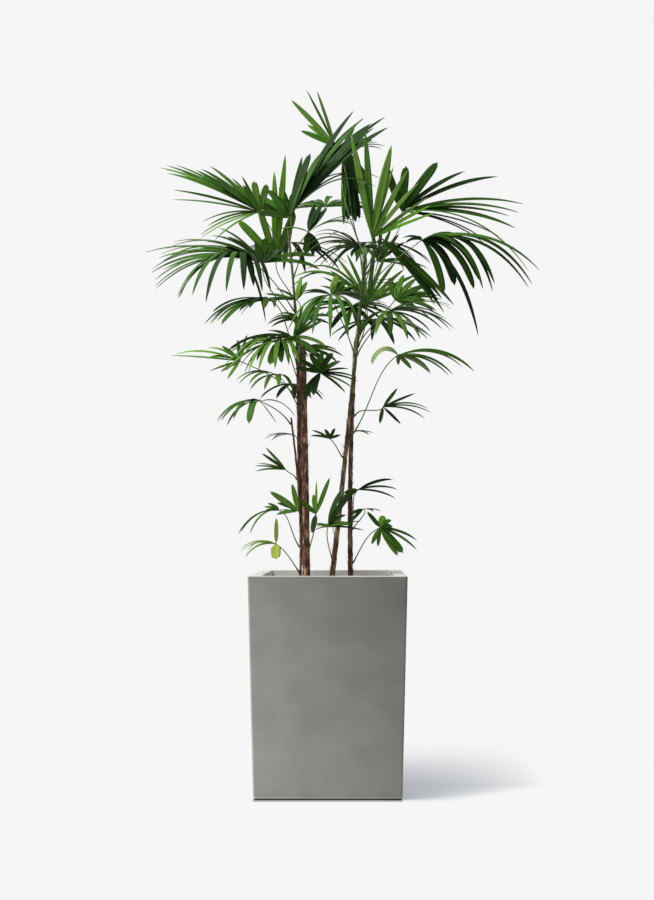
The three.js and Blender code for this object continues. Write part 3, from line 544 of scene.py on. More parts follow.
class Leaf:
    """One leaf of the plan: its hub, its stalk and its fans."""

    def __init__(self, index, row):
        self.index = index
        self.cane, self.joint = row[:2]
        self.hub = np.array(row[2:5], dtype=float)
        self.fans = [Fan(*fan) for fan in row[5:]]
        self.bow = 0
        self.leaflets = []

    @property
    def along(self):
        return self.fans[0].along

    def stalk(self, bow, count=STEPS):
        """The stalk's line, which leaves the cane steeply and bows aside."""
        root = cane_at(self.cane, self.joint)
        away = unit((self.hub - root) * [1, 1, 0])
        start = root + away * (cane_radius(self.cane, self.joint) + STALK_RADIUS + 2 * CLEAR)
        reach = np.linalg.norm(self.hub - start)
        aside = unit(np.cross(UP, away)) * bow
        out = start + unit(away + UP * STALK_STEEP) * STALK_HANDLES[0] * reach + aside
        flat = unit(np.array([*self.along[:2], HUB_STEEP + max(0, self.along[2])]))
        into = self.hub - flat * STALK_HANDLES[1] * reach + aside
        ends = ((start, out), (out, into), (into, self.hub))
        line = []
        for k in range(count + 1):
            t = k / count
            p, q, s = (a * (1 - t) + b * t for a, b in ends)
            line.append((p * (1 - t) + q * t) * (1 - t) + (q * (1 - t) + s * t) * t)
        return line

    def leaflet(self, fan, i, tilt, sag):
        """One leaflet's centre line, side, length and width."""
        t = 2 * i / (fan.count - 1) - 1 if fan.count > 1 else 0
        number = i + FAN_NUMBERS * self.fans.index(fan)
        luck = [chance(self.index, number + DRAW_NUMBERS * k) for k in range(4)]
        turn = t * math.radians(fan.spread) / 2 + (luck[0] - 0.5) * TURN_LUCK * fan.step
        lift = math.radians(tilt)
        flat = fan.along * math.cos(turn) + fan.across * math.sin(turn)
        first = unit(flat * math.cos(lift) + fan.normal * math.sin(lift))
        shorter = SIDE_SHORTER * min(1, fan.spread / WIDE_SPREAD) * abs(t) ** SIDE_POWER
        length = fan.length * (1 - shorter) * lucky(LENGTH_LUCK, luck[1])
        droop = max(0, fan.droop * lucky(DROOP_LUCK, luck[2]) + sag)
        points = [self.hub]
        for k in range(STEPS):
            way = unit(first - UP * droop * ((k + 0.5) / STEPS) ** DROOP_POWER)
            points.append(points[-1] + way * length / STEPS)
        wide = fan.width * lucky(WIDTH_LUCK, luck[3])
        room = NEIGHBOUR_SHARE * fan.step * length * WIDEST_AT
        return {
            "points": points,
            "side": unit(np.cross(fan.normal, first)),
            "step": fan.step,
            "length": length,
            "width": min(wide, room),  # in the frame's leaf
            "wide": wide,
            "number": number,
        }


BOWS = (0, 12, -12, 22, -22, 32, -32)  # of a stalk, in the order in which they are tried
TRIES = (  # a leaflet's tilt and sag, likewise
    (0, 0),
    (5, 0),
    (-5, 0),
    (0, 0.3),
    (0, -0.3),
    (9, 0.2),
    (-9, 0.1),
    (13, 0.5),
    (-13, -0.2),
)


class Placed:
    """Every line that has been placed, as pieces with a radius and an owner."""

    def __init__(self):
        self.starts = np.empty((0, 3))
        self.ends = np.empty((0, 3))
        # One row for each piece: radius, owner, fan (or -1) and its place along the line
        self.facts = np.empty((0, 4))

    def put(self, points, radius, owner, fan=-1):
        line = np.array(points)
        self.starts = np.vstack([self.starts, line[:-1]])
        self.ends = np.vstack([self.ends, line[1:]])
        rows = [(radius, owner, fan, k) for k in range(1, len(line))]
        self.facts = np.vstack([self.facts, rows])

    def near(self, points, radius, chosen):
        a, b, r = self.starts[chosen], self.ends[chosen], self.facts[chosen, 0]
        ab = b - a
        ap = np.array(points)[:, None, :] - a
        t = np.clip((ap * ab).sum(-1) / (ab * ab).sum(-1), 0, 1)
        away = ap - ab * t[..., None]
        return bool(((away * away).sum(-1) < (radius + r) ** 2).any())

    def crowd(self, points, radius, owner, fan=-1):
        """True where a line comes too near to another. A leaf's fans may cross near their hub."""
        _, owners, fans, order = self.facts.T
        if self.near(points[1:], radius, owners != owner):
            return True
        own = (owners == owner) & (fans >= 0) & (fans != fan) & (order > CROSSING_STEPS)
        return self.near(points[CROSSING_STEPS:], radius, own)


def first_free(leaf, fan, i, placed):
    """A leaflet in the first place that has room for it, or else in its first place."""
    place = leaf.fans.index(fan)
    first = None
    for tilt, sag in TRIES:
        line = leaf.leaflet(fan, i, tilt, sag)
        low = any(p[2] < LOWEST_LEAF for p in line["points"])
        radius = LEAFLET_ROOM * line["width"]
        if not low and not placed.crowd(line["points"], radius, leaf.index, place):
            placed.put(line["points"], radius, leaf.index, place)
            return line
        if (tilt, sag) == TRIES[0] and not low:
            first = line
    return first


def grow_leaves():
    """The plan's leaves with their stalks and leaflets."""
    leaves = [Leaf(k + 1, row) for k, row in enumerate(LEAVES)]
    placed = Placed()
    for number, (name, cane) in enumerate(CANES.items()):
        placed.put(cane_points(name, CANE_STEPS), cane[3][0], -1 - number)
    for leaf in leaves:
        free = [b for b in BOWS if not placed.crowd(leaf.stalk(b), STALK_ROOM, leaf.index)]
        leaf.bow = free[0] if free else 0
        placed.put(leaf.stalk(leaf.bow), STALK_ROOM, leaf.index)
    for leaf in leaves:
        for fan in leaf.fans:
            found = [first_free(leaf, fan, i, placed) for i in range(fan.count)]
            leaf.leaflets += [line for line in found if line]
    return leaves


def smooth_line(points, count):
    """A smooth line of more points through a few."""
    line = np.array(points)
    line = np.vstack([2 * line[0] - line[1], line, 2 * line[-1] - line[-2]])
    result = []
    for k in range(count + 1):
        u = k / count * (len(points) - 1)
        i = min(int(u), len(points) - 2)
        f = u - i
        a, b, c, d = line[i : i + 4]
        square, cube = 2 * a - 5 * b + 4 * c - d, 3 * b - a - 3 * c + d
        result.append(0.5 * (2 * b + (c - a) * f + square * f**2 + cube * f**3))
    return np.array(result)


def tangents(line):
    ways = np.gradient(line, axis=0)
    return ways / np.linalg.norm(ways, axis=1)[:, None]


# Leaves

# Places across a leaflet, from edge to edge, and their rise against the fold
PLEATS = ((-1, 1.0), (-0.5, 0.1), (0, 0.34), (0.5, 0.1), (1, 1.0))
TIP_FLATTER = 0.45  # share of the fold that is gone at the tip
TWIST_RANGE = 26  # degrees at the tip, from the leaflet most twisted one way to the other
TIP_SLANT, TIP_POINT = 4.5, 1.5  # mm that the tip's edges stay back and its rib stands out
UV_SHARE = 0.01  # of the map for each millimetre along the blade

# A leaflet's outline, in shares of its length and of its full width
WIDENS_FROM, WIDENS_OVER = 0.03, 0.36
ROOT_SHARE = 0.16
WEB_SHARE, WEB_MOST = 1.05, WEB_WIDTH * 1.1  # of the gap to its neighbour, and mm at most
# Where the width starts to fall, the power it falls with and the share lost at the tip.
# Narrow leaflets taper to a thin end, and broad ones keep their width and end blunt.
THIN_END = (0.52, 2.1, 0.84)
BLUNT_END = (0.62, 3.4, 0.66)
BLUNT_WIDTH, BLUNT_LENGTH = 16.0, 200.0  # mm; a broader and shorter leaflet ends blunt


def blade_share(u, leaflet):
    """A leaflet's width at a share of its length, against its full width."""
    full, length = leaflet["wide"], leaflet["length"]
    distance = u * length
    web = min(leaflet["step"] * distance * WEB_SHARE, WEB_MOST) / full
    rise = min(1.0, max(0.0, (u - WIDENS_FROM) / WIDENS_OVER))
    broad = full > BLUNT_WIDTH and length < BLUNT_LENGTH
    start, power, lost = BLUNT_END if broad else THIN_END
    fall = max(0.0, (u - start) / (1 - start))
    low = max(web, ROOT_SHARE)
    return low + (1 - low) * math.sin(rise * math.pi / 2) - lost * fall**power


def add_leaflet(build, leaf, leaflet, settings, skins):
    """Adds one pleated blade to the lists of a leaf."""
    points, faces, picks, uvs = build
    upper_skin, lower_skin = skins
    stations = settings.stations
    line = smooth_line(leaflet["points"], stations)
    ways = tangents(line)
    thick = settings.thickness / MM
    luck = chance(leaf.index, leaflet["number"] + TWIST_DRAW)
    twist = math.radians(TWIST_RANGE * (luck - 0.5))
    across = [place for place, _ in PLEATS + PLEATS[-2:0:-1]]
    ring, base = len(across), len(points)
    side = leaflet["side"]
    for k in range(stations + 1):
        u = k / stations
        half = 0.5 * leaflet["wide"] * blade_share(u, leaflet)
        side = unit(side - ways[k] * np.dot(side, ways[k]))
        top = np.cross(ways[k], side)
        turn = twist * u
        turned = side * math.cos(turn) + top * math.sin(turn)
        above = top * math.cos(turn) - side * math.sin(turn)
        fold = settings.fold * (1 - TIP_FLATTER * u)
        upper = []
        for place, rise in PLEATS:
            notch = TIP_POINT * (place == 0) - TIP_SLANT * abs(place) if k == stations else 0
            height = half * fold * rise
            upper.append(line[k] + turned * half * place + above * height + ways[k] * notch)
        lower = [p - above * thick for p in upper]
        points.extend(p * MM for p in upper + lower[-2:0:-1])
        uvs.extend((0.5 + 0.5 * a, u * leaflet["length"] * UV_SHARE) for a in across)
    faces.extend(ring_faces(stations + 1, ring, base))
    picks.extend(([upper_skin] * (ring // 2) + [lower_skin] * (ring // 2)) * stations)
    picks.extend((upper_skin, upper_skin))


# A stalk, in millimetres: thick where it leaves its sheath, slender above, wider at its hub
STALK_SIDES, STALK_STATIONS = 8, 18
STEEP = 0.95  # rise of a way that is too steep to take its side from the vertical
STALK_THICK, STALK_TAPER = 1.4, 0.35
SHEATH_SWELL, SHEATH_STATIONS = 1.7, 1.4
HUB_SWELL, HUB_SWELL_FROM, HUB_SWELL_OVER = 0.8, 0.93, 0.07
STALK_IN_HUB = 5
STALK_IN_CANE, STALK_SUNK = 0.6, 3.0  # share of the way to the cane's middle, and mm down


def stalk_radius(k, t):
    """The radius of a stalk at a station and at that station's share of its length."""
    sheath = SHEATH_SWELL * math.exp(-k / SHEATH_STATIONS)
    hub = HUB_SWELL * max(0, t - HUB_SWELL_FROM) / HUB_SWELL_OVER
    return STALK_THICK - STALK_TAPER * t + sheath + hub


def add_stalk(build, leaf):
    """Adds the round stalk, from inside its cane to the fan."""
    points, faces, picks, uvs = build
    line = leaf.stalk(leaf.bow, STALK_STATIONS)
    root = cane_at(leaf.cane, leaf.joint)
    inside = root * STALK_IN_CANE + line[0] * (1 - STALK_IN_CANE) - UP * STALK_SUNK
    line = np.array([inside, *line, leaf.hub + leaf.along * STALK_IN_HUB])
    base = len(points)
    for k, (p, way) in enumerate(zip(line, tangents(line))):
        t = k / (len(line) - 1)
        radius = stalk_radius(k, t)
        u = unit(np.cross(UP if abs(way[2]) < STEEP else [0, 1, 0], way))
        v = np.cross(way, u)
        for s in range(STALK_SIDES):
            a = 2 * math.pi * s / STALK_SIDES
            points.append((p + (u * math.cos(a) + v * math.sin(a)) * radius) * MM)
            uvs.append((s / STALK_SIDES, t))
    new = ring_faces(len(line), STALK_SIDES, base)
    faces.extend(new)
    picks.extend([STALK] * len(new))


# Living palm leaf: a satin, lightly waxed skin over fine parallel veins. The hex values are the
# skin seen square on, from deep to lime, and the darker and greyer ones also hold painted shade and
# sheen.
SKINS = {
    "leaf_underside": "#42562f",
    "leaf_stalk": "#4c5a2e",
    "leaf_deep": "#1a2e11",
    "leaf_dusky": "#294715",
    "leaf_mid": "#365a1a",
    "leaf_fresh": "#4a6c21",
    "leaf_bright": "#53831d",
    "leaf_lime": "#8b9b33",
    "leaf_dark_underside": "#273f1a",
    "leaf_pale": "#6c7d50",
}
DARK_SKINS = ("leaf_deep", "leaf_dusky", "leaf_mid", "leaf_dark_underside")
# The skins' places in the list
UNDER, STALK, DEEP, DUSKY, MID, FRESH, BRIGHT, LIME, DARK_UNDER, PALE = range(len(SKINS))
# Which skins a leaf of each tone draws from
DRAWS = {
    "night": (DEEP, DEEP, DEEP, DUSKY, DEEP),
    "deep": (DEEP, DEEP, DUSKY, DUSKY, MID),
    "mid": (DUSKY, DUSKY, MID, MID, FRESH),
    "fresh": (MID, FRESH, FRESH, BRIGHT, FRESH),
    "bright": (MID, FRESH, FRESH, BRIGHT, BRIGHT),
    "lime": (FRESH, BRIGHT, FRESH, LIME, BRIGHT),
    "dull": (UNDER, DUSKY, DARK_UNDER, MID, UNDER),
    "pale": (MID, MID, DUSKY, MID, FRESH),
}
# The skin of a leaflet's lower face, and how many places brighter an upright one is
UNDERSIDES = {
    "night": DARK_UNDER,
    "deep": DARK_UNDER,
    "mid": UNDER,
    "fresh": MID,
    "bright": UNDER,
    "lime": FRESH,
    "dull": UNDER,
    "pale": PALE,
}
UPRIGHT_GAIN = {"mid": 2, "bright": 1}
UPRIGHT_RISE = 0.94  # of a leaflet's first way, from which it counts as upright
BROAD_SKINS = {"pale": PALE, "lime": LIME}  # broad leaflets' own skin in leaves of these tones
BROAD_WIDTH = 12.5  # mm, from which a leaflet counts as broad there
VEIN_COUNT = 5  # across a leaflet, drawn coarser and paler than life, partly a painted highlight along the pleats
SHEEN, DARK_SHEEN = 0.1, 0.02
MOTTLE_DARK, MOTTLE_LIGHT, MOTTLE_LIFT = 0.56, 1.5, 0.006  # against the skin's own colour


def leaf_skin(name, code):
    """Satin leaf skin with faint mottling and fine pale veins along the blade, which are partly a
    painted highlight along the pleats.
    """
    sheen = DARK_SHEEN if name in DARK_SKINS else SHEEN
    material, tree, shader = new_material(name, roughness=0.55, Specular_IOR_Level=sheen)
    coords = add(tree, "ShaderNodeTexCoord").outputs
    across = xyz(tree, coords["UV"])[0]
    wave = maths(tree, "SINE", maths(tree, "MULTIPLY", across, VEIN_COUNT * 2 * math.pi))
    base = linear(code)[:3]
    light = (*(min(1.0, c * MOTTLE_LIGHT + MOTTLE_LIFT) for c in base), 1.0)
    dark = (*(c * MOTTLE_DARK for c in base), 1.0)
    colour = blend(tree, noise(tree, coords["Object"], scale=22.0, detail=3.0), dark, light)
    # the veins are drawn paler: real veins, and partly a painted highlight
    colour = blend(tree, ramp(tree, wave, low=0.1, high=1.0, last=0.5), colour, light)
    tree.links.new(colour, shader.inputs["Base Color"])
    relief(tree, shader, wave, strength=0.12, distance=0.0003)
    return material


def leaflet_skins(leaf, leaflet, tone):
    """The skins of a leaflet's upper and lower face."""
    luck = chance(leaf.index, leaflet["number"] + SKIN_DRAW)
    skin = DRAWS[tone][int(luck * len(DRAWS[tone]))]
    if tone in BROAD_SKINS and leaflet["wide"] > BROAD_WIDTH:
        skin = BROAD_SKINS[tone]
    rise = unit(leaflet["points"][2] - leaflet["points"][0])[2]
    if rise > UPRIGHT_RISE and tone in UPRIGHT_GAIN:
        skin = min(BRIGHT, skin + UPRIGHT_GAIN[tone])
    return skin, UNDERSIDES[tone]


class PALM_OT_leaves(bpy.types.Operator):
    """Grow every fan leaf with its stalk"""

    bl_idname = "palm.leaves"
    bl_label = "Fan leaves"

    def execute(self, context):
        settings = context.scene.palm_leaves
        skins = [leaf_skin(name, code) for name, code in SKINS.items()]
        tone_of = {number: tone for tone, numbers in TONES.items() for number in numbers}
        for leaf in grow_leaves():
            tone = tone_of.get(leaf.index, "mid")
            points, faces, picks, uvs = build = ([], [], [], [])
            add_stalk(build, leaf)
            for leaflet in leaf.leaflets:
                add_leaflet(build, leaf, leaflet, settings, leaflet_skins(leaf, leaflet, tone))
            piece = mesh_piece(f"fan_{leaf.index:02d}", points, faces, skins, picks, uvs)
            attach(piece, BODY)
            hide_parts(f"leaf_{leaf.index:02d}")
        return {"FINISHED"}


# Canes

# Fibres and stiff tufts: radius in metres, and how far they lift against their length
FIBRE_RADIUS, FIBRE_LIFT = 0.00022, 0.13
TUFT_RADIUS, TUFT_LIFT = 0.0008, 0.55
STRAND_TIP = 0.00005  # radius there, in metres
STRAY = (0.16, 0.16, 0.1)  # how far a strand strays at most, against its length
LEAST_STRAND, MOST_STRAND = 0.4, 1.3  # against the settings' length
FIBRE_SEED, TUFT_SEED = 20, 60


def fibre_tree(material):
    """Loose fibres that lie along a cane and lift a little from it."""
    tree, inlet, outlet = node_tree("cane_fibres", "Density", "Length", "Radius", "Lift")
    points = strewn_points(tree, inlet)
    shape = {
        "Vertices": 3,
        "Radius Top": STRAND_TIP,
        "Radius Bottom": inlet.outputs["Radius"],
        "Depth": inlet.outputs["Length"],
    }
    strand = add(tree, "GeometryNodeMeshCone", shape)
    stray = random_vector(tree, [-most for most in STRAY], STRAY, seed=3)
    lift = inlet.outputs["Lift"]
    outward = add(tree, "ShaderNodeCombineXYZ", {0: lift, 1: lift}).outputs[0]
    lifted = vectors(tree, "MULTIPLY_ADD", points.outputs["Normal"], outward, stray)
    way = vectors(tree, "ADD", lifted, (0.0, 0.0, 1.0))
    turn = add(tree, "FunctionNodeAlignRotationToVector", {"Vector": way}, axis="Z")
    sizes = {2: LEAST_STRAND, 3: MOST_STRAND, "Seed": 11}
    size = add(tree, "FunctionNodeRandomValue", sizes, data_type="FLOAT")
    places = {
        "Points": points.outputs["Points"],
        "Instance": strand.outputs["Mesh"],
        "Rotation": turn.outputs[0],
        "Scale": size.outputs[1],
    }
    put_on(tree, places, material, outlet)
    return tree


YOUNG_FROM, YOUNG_TO = 0.95, 1.09  # metres up, where a cane turns green
YOUNG_SHARE = 0.93  # how green it is above


def stretched(tree, place, share):
    """Coordinates in which a pattern is drawn out upwards."""
    inputs = {"Vector": place, "Scale": (1.0, 1.0, share)}
    return add(tree, "ShaderNodeMapping", inputs).outputs[0]


def cane_material(name, dark, mid, light, young):
    """Palm fibre: dull woven sheath of brown threads, smooth and greener near the top."""
    material, tree, shader = new_material(name, roughness=0.86)
    place = add(tree, "ShaderNodeTexCoord").outputs["Object"]
    along, short = stretched(tree, place, 0.09), stretched(tree, place, 0.3)
    threads = noise(tree, along, scale=520.0, detail=4.0, roughness=0.6)
    patches = noise(tree, short, scale=150.0, detail=3.0)
    green = ramp(tree, xyz(tree, place)[2], YOUNG_FROM, YOUNG_TO, last=YOUNG_SHARE)
    colour = blend(tree, ramp(tree, threads, low=0.36, high=0.62), linear(dark), linear(mid))
    colour = blend(tree, ramp(tree, patches, low=0.5, high=0.66), colour, linear(light))
    colour = blend(tree, green, colour, linear(young))
    tree.links.new(colour, shader.inputs["Base Color"])
    relief(tree, shader, threads, strength=0.7, distance=0.0008)
    return material


# A cane's skin, in millimetres
CANE_SIDES, CANE_RISE = 20, 3.2  # faces round it, and from one ring to the next
CANE_SUNK = 3.0  # below the soil's top
CANE_END = 4.0  # its rounded top
BARE_FROM, BARE_OVER = 940, 120  # where its sheaths' relief fades
BARE_LOSS = 0.8
SKIN_SHARE = 0.96  # of the frame's cane, so that the relief has room
WRAP_WANDER = 0.35  # of a sheath's step, that its edge wanders
RIDGE_RINGS, RIDGE_DRAWS = 3, 40  # rings that a ridge lasts, and the canes' draws apart
RIDGE_RANGE, RIDGE_RADIUS = 0.5, 7  # from low to high, on a cane of this radius
SHEATH_GAIN = 1.2  # of the relief in the settings


def cane_surface(name, settings, material):
    """A cane's skin: overlapping old sheaths with ragged edges and ridged threads."""
    foot, top = SOIL_TOP - CANE_SUNK, CANES[name][1][2]
    rings = int((top - foot) / CANE_RISE)
    number = list(CANES).index(name)
    points = []
    for k in range(rings + 1):
        z = foot + (top - foot) * k / rings
        centre = cane_at(name, max(z, SOIL_TOP))
        centre[2] = z
        radius = cane_radius(name, max(z, SOIL_TOP))
        bare = min(1.0, max(0.0, (z - BARE_FROM) / BARE_OVER))
        closing = math.sqrt(max(0.0, min(1.0, (top - z) / CANE_END)))
        for s in range(CANE_SIDES):
            a = 2 * math.pi * s / CANE_SIDES
            wander = WRAP_WANDER * math.sin(2 * a + number)
            wrap = (z / (settings.sheath / MM) + s / CANE_SIDES + wander) % 1.0
            ridge = chance(number * RIDGE_DRAWS + s, k // RIDGE_RINGS) - 0.5
            edge = settings.relief / MM * (wrap - 0.5) * SHEATH_GAIN
            lump = edge + RIDGE_RANGE * ridge * radius / RIDGE_RADIUS
            r = (radius * SKIN_SHARE + lump * (1 - BARE_LOSS * bare)) * closing
            points.append((centre + np.array([math.cos(a), math.sin(a), 0]) * r) * MM)
    return mesh_piece("bark_" + name, points, ring_faces(rings + 1, CANE_SIDES), [material])


class PALM_OT_canes(bpy.types.Operator):
    """Dress the canes in sheaths and loose fibres"""

    bl_idname = "palm.canes"
    bl_label = "Canes"

    def execute(self, context):
        settings = context.scene.palm_canes
        brown = cane_material("palm_fibre_brown", "#22130e", "#724937", "#bd9273", "#4a5a2b")
        dark = cane_material("palm_fibre_dark", "#1d110d", "#5a3a2c", "#93705a", "#4c5530")
        green = cane_material("palm_fibre_green", "#22130e", "#6b4e38", "#a8926c", "#33441d")
        thread = cane_material("palm_fibre_thread", "#3a261c", "#7b5a45", "#b89776", "#9a9468")
        tree = fibre_tree(thread)
        for number, name in enumerate(CANES):
            material = {LN: dark, RS: dark, RL: green}.get(name, brown)
            piece = cane_surface(name, settings, material)
            fine = {
                "Density": float(settings.fibres),
                "Length": settings.fibre_length,
                "Radius": FIBRE_RADIUS,
                "Lift": FIBRE_LIFT,
                "Seed": FIBRE_SEED + number,
            }
            stiff = {
                "Density": float(settings.tufts),
                "Length": settings.tuft_length,
                "Radius": TUFT_RADIUS,
                "Lift": TUFT_LIFT,
                "Seed": TUFT_SEED + number,
            }
            fibres = grown_over(piece, tree, fine, "fibres_" + name)
            tufts = grown_over(piece, tree, stiff, "tufts_" + name)
            for part in (piece, fibres, tufts):
                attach(part, BODY)
            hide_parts(name)
        return {"FINISHED"}


# Planter and soil


def square_ring(half, z, corner, parts=4):
    """A square ring with round upright corners."""
    ring = []
    for quarter, (sx, sy) in enumerate(((1, 1), (-1, 1), (-1, -1), (1, -1))):
        for part in range(parts + 1):
            a = math.pi / 2 * (quarter + part / parts)
            x = sx * (half - corner) + corner * math.cos(a)
            y = sy * (half - corner) + corner * math.sin(a)
            ring.append((x, y, z))
    return ring


def loft(name, rings, materials, bands):
    """A closed skin through rings of equally many points, a material for each band."""
    n = len(rings[0])
    points = [p for ring in rings for p in ring]
    picks = [band for band in bands for _ in range(n)] + [bands[0], bands[-1]]
    return mesh_piece(name, points, ring_faces(len(rings), n), materials, picks, smooth=False)


# Fibreclay's clouds, as shares of its grey, and the light and shade painted into it: paler towards
# the left and the foot, a paler rim top, a paler bottom edge and a paler inside
CLOUD_DARK, CLOUD_PALE = (0.75, 0.77, 0.77), (1.25, 1.23, 1.22)
PAINTED_LIGHT_X, PAINTED_LIGHT_Z, PAINTED_LIGHT_LIFT = -1.5, -0.7, 0.17  # painted light and shade, paler to the left and to the foot: for each metre, and over all
# the rim's top, painted paler, as lit from above
RIM_PAINTED_LIGHT = 1.2
RIM_LIGHT_FROM, RIM_LIGHT_TO = -0.0016, -0.0006  # metres from the rim's top, where its painted light begins
FLOOR_LIT_EDGE_SHADE, FLOOR_LIT_EDGE_FROM, FLOOR_LIT_EDGE_TO = 1.7, 0.004, 0.0075  # painted light on the bottom edge, as lit by the floor, metres up
INSIDE_PAINTED_LIFT = 2.1  # painted light: how much paler the inside is, as lit from above


def fibreclay(name, settings, lift, painted_light_slant):
    """Moulded fibreclay: a dense matte grey skin, softly clouded, with fine pores, and painted
    light on its front, rim top, bottom edge and inside.
    """
    material, tree, shader = new_material(name, roughness=0.78, Specular_IOR_Level=0.35)
    place = add(tree, "ShaderNodeTexCoord").outputs["Object"]
    height = xyz(tree, place)[2]
    grey = [c * lift for c in settings.grey]
    dark = (*(c * part for c, part in zip(grey, CLOUD_DARK)), 1.0)
    pale = (*(c * part for c, part in zip(grey, CLOUD_PALE)), 1.0)
    clouded = blend(tree, noise(tree, place, scale=13.0, detail=5.0), dark, pale)
    grain = noise(tree, place, scale=420.0, detail=2.0)
    speck = ramp(tree, grain, low=0.3, high=0.7, first=0.96, last=1.04)
    # painted light and shade: paler towards its left side, where the key light falls, and towards
    # its foot, where the floor lights it
    painted_light_lean = vectors(tree, "DOT_PRODUCT", place, (PAINTED_LIGHT_X * painted_light_slant, 0.0, PAINTED_LIGHT_Z * painted_light_slant))
    face = maths(tree, "ADD", painted_light_lean, 1 + PAINTED_LIGHT_LIFT * painted_light_slant)
    # painted light: its rim's top is evenly paler, as lit from above, and its bottom edge is paler,
    # as lit by the floor
    painted_rim_light = ramp(tree, height, settings.height + RIM_LIGHT_FROM, settings.height + RIM_LIGHT_TO)
    rim = add(tree, "ShaderNodeMix", {0: painted_rim_light, 2: face, 3: RIM_PAINTED_LIGHT / lift}).outputs[0]
    # painted light: the bottom edge is paler, as lit by the floor
    floor_lit_edge = ramp(tree, height, FLOOR_LIT_EDGE_FROM, FLOOR_LIT_EDGE_TO, FLOOR_LIT_EDGE_SHADE, 1.0)
    shade = maths(tree, "MULTIPLY", speck, maths(tree, "MULTIPLY", rim, floor_lit_edge))
    tree.links.new(vectors(tree, "MULTIPLY", clouded, shade), shader.inputs["Base Color"])
    relief(tree, shader, grain, strength=0.25, distance=0.0004)
    return material


class PALM_OT_planter(bpy.types.Operator):
    """Cast the square fibreclay planter"""

    bl_idname = "palm.planter"
    bl_label = "Planter"

    def execute(self, context):
        settings = context.scene.palm_planter
        foot_height, foot_inset, floor, corner = 0.0035, 0.002, 0.026, 0.005
        base, rim = settings.base_width / 2, settings.width / 2
        height, edge = settings.height, settings.edge
        low_edge, steps = 0.4 * edge, 4
        quarter = [math.pi / 2 * k / steps for k in range(steps + 1)]

        def half(z):
            return base + (rim - base) * (z - foot_height) / (height - foot_height)

        rings = [
            square_ring(base - foot_inset, 0, corner),
            square_ring(base - foot_inset, foot_height, corner),
        ]
        for a in quarter:
            z = foot_height + low_edge * (1 - math.cos(a))
            rings.append(square_ring(half(z) - low_edge * (1 - math.sin(a)), z, corner))
        for a in quarter:
            z = height - edge * (1 - math.sin(a))
            rings.append(square_ring(half(z) - edge * (1 - math.cos(a)), z, corner))
        inner = half(height) - settings.rim
        inside = len(rings)
        for a in quarter:
            z = height - edge * (1 - math.cos(a))
            rings.append(square_ring(inner + edge * (1 - math.sin(a)), z, corner))
        rings.append(square_ring(half(floor) - settings.rim, floor, corner))

        face = fibreclay("fibreclay", settings, lift=1.0, painted_light_slant=1.0)
        # painted light: the inside is paler, as lit from above
        lit_inside = fibreclay("fibreclay_lit_inside", settings, lift=INSIDE_PAINTED_LIFT, painted_light_slant=0.0)
        foot_gap_shadow, *_ = new_material("fibreclay_foot_shadow", roughness=0.9, Base_Color=linear("#1d1c1a"))
        # the foot is painted dark, a painted shadow in the gap under the planter; the outside and
        # the rim are the face, and the inside is painted paler, as lit from above
        bands = [2, 2] + [0] * (inside - 2) + [1] * (len(rings) - 1 - inside)
        piece = loft("planter", rings, [face, lit_inside, foot_gap_shadow], bands)
        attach(piece, BODY)
        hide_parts("pot")
        return {"FINISHED"}


# Bark chips: least and most turn in radians, and least and most size along each axis
CHIP_TURNS = ((-0.5, -0.5, 0.0), (0.5, 0.5, 6.28))
CHIP_SHAPES = ((0.25, 0.15, 0.08), (0.6, 0.34, 0.2))
CHIP_SEED = 5


def chip_tree(material):
    """Bark chips strewn over the soil."""
    tree, inlet, outlet = node_tree("bark_chips", "Density", "Size")
    shape = {"Radius": inlet.outputs["Size"], "Subdivisions": 1}
    places = {
        "Points": strewn_points(tree, inlet).outputs["Points"],
        "Instance": add(tree, "GeometryNodeMeshIcoSphere", shape).outputs["Mesh"],
        "Rotation": random_vector(tree, *CHIP_TURNS, seed=4),
        "Scale": random_vector(tree, *CHIP_SHAPES, seed=2),
    }
    put_on(tree, places, material, outlet)
    return tree


def compost(name, dark, light):
    """Damp bark compost: dark, dull and crumbly."""
    material, tree, shader = new_material(name, roughness=0.95)
    place = add(tree, "ShaderNodeTexCoord").outputs["Object"]
    crumbs = noise(tree, place, scale=160.0, detail=4.0)
    colour = blend(tree, crumbs, linear(dark), linear(light))
    tree.links.new(colour, shader.inputs["Base Color"])
    relief(tree, shader, crumbs, strength=0.8, distance=0.003)
    return material


# The compost, in metres: clear of the planter, below the frame's soil and how uneven it is
SOIL_CLEAR, SOIL_SUNK, SOIL_ROUGH = 0.0005, 0.003, 0.006
SOIL_NARROWER = 0.013  # half of what it loses in width down to the planter's floor
SOIL_CELLS = 28  # squares along each side of its top
SOIL_DRAWS = (3, 900)  # which keep its draws of chance apart from the leaves'


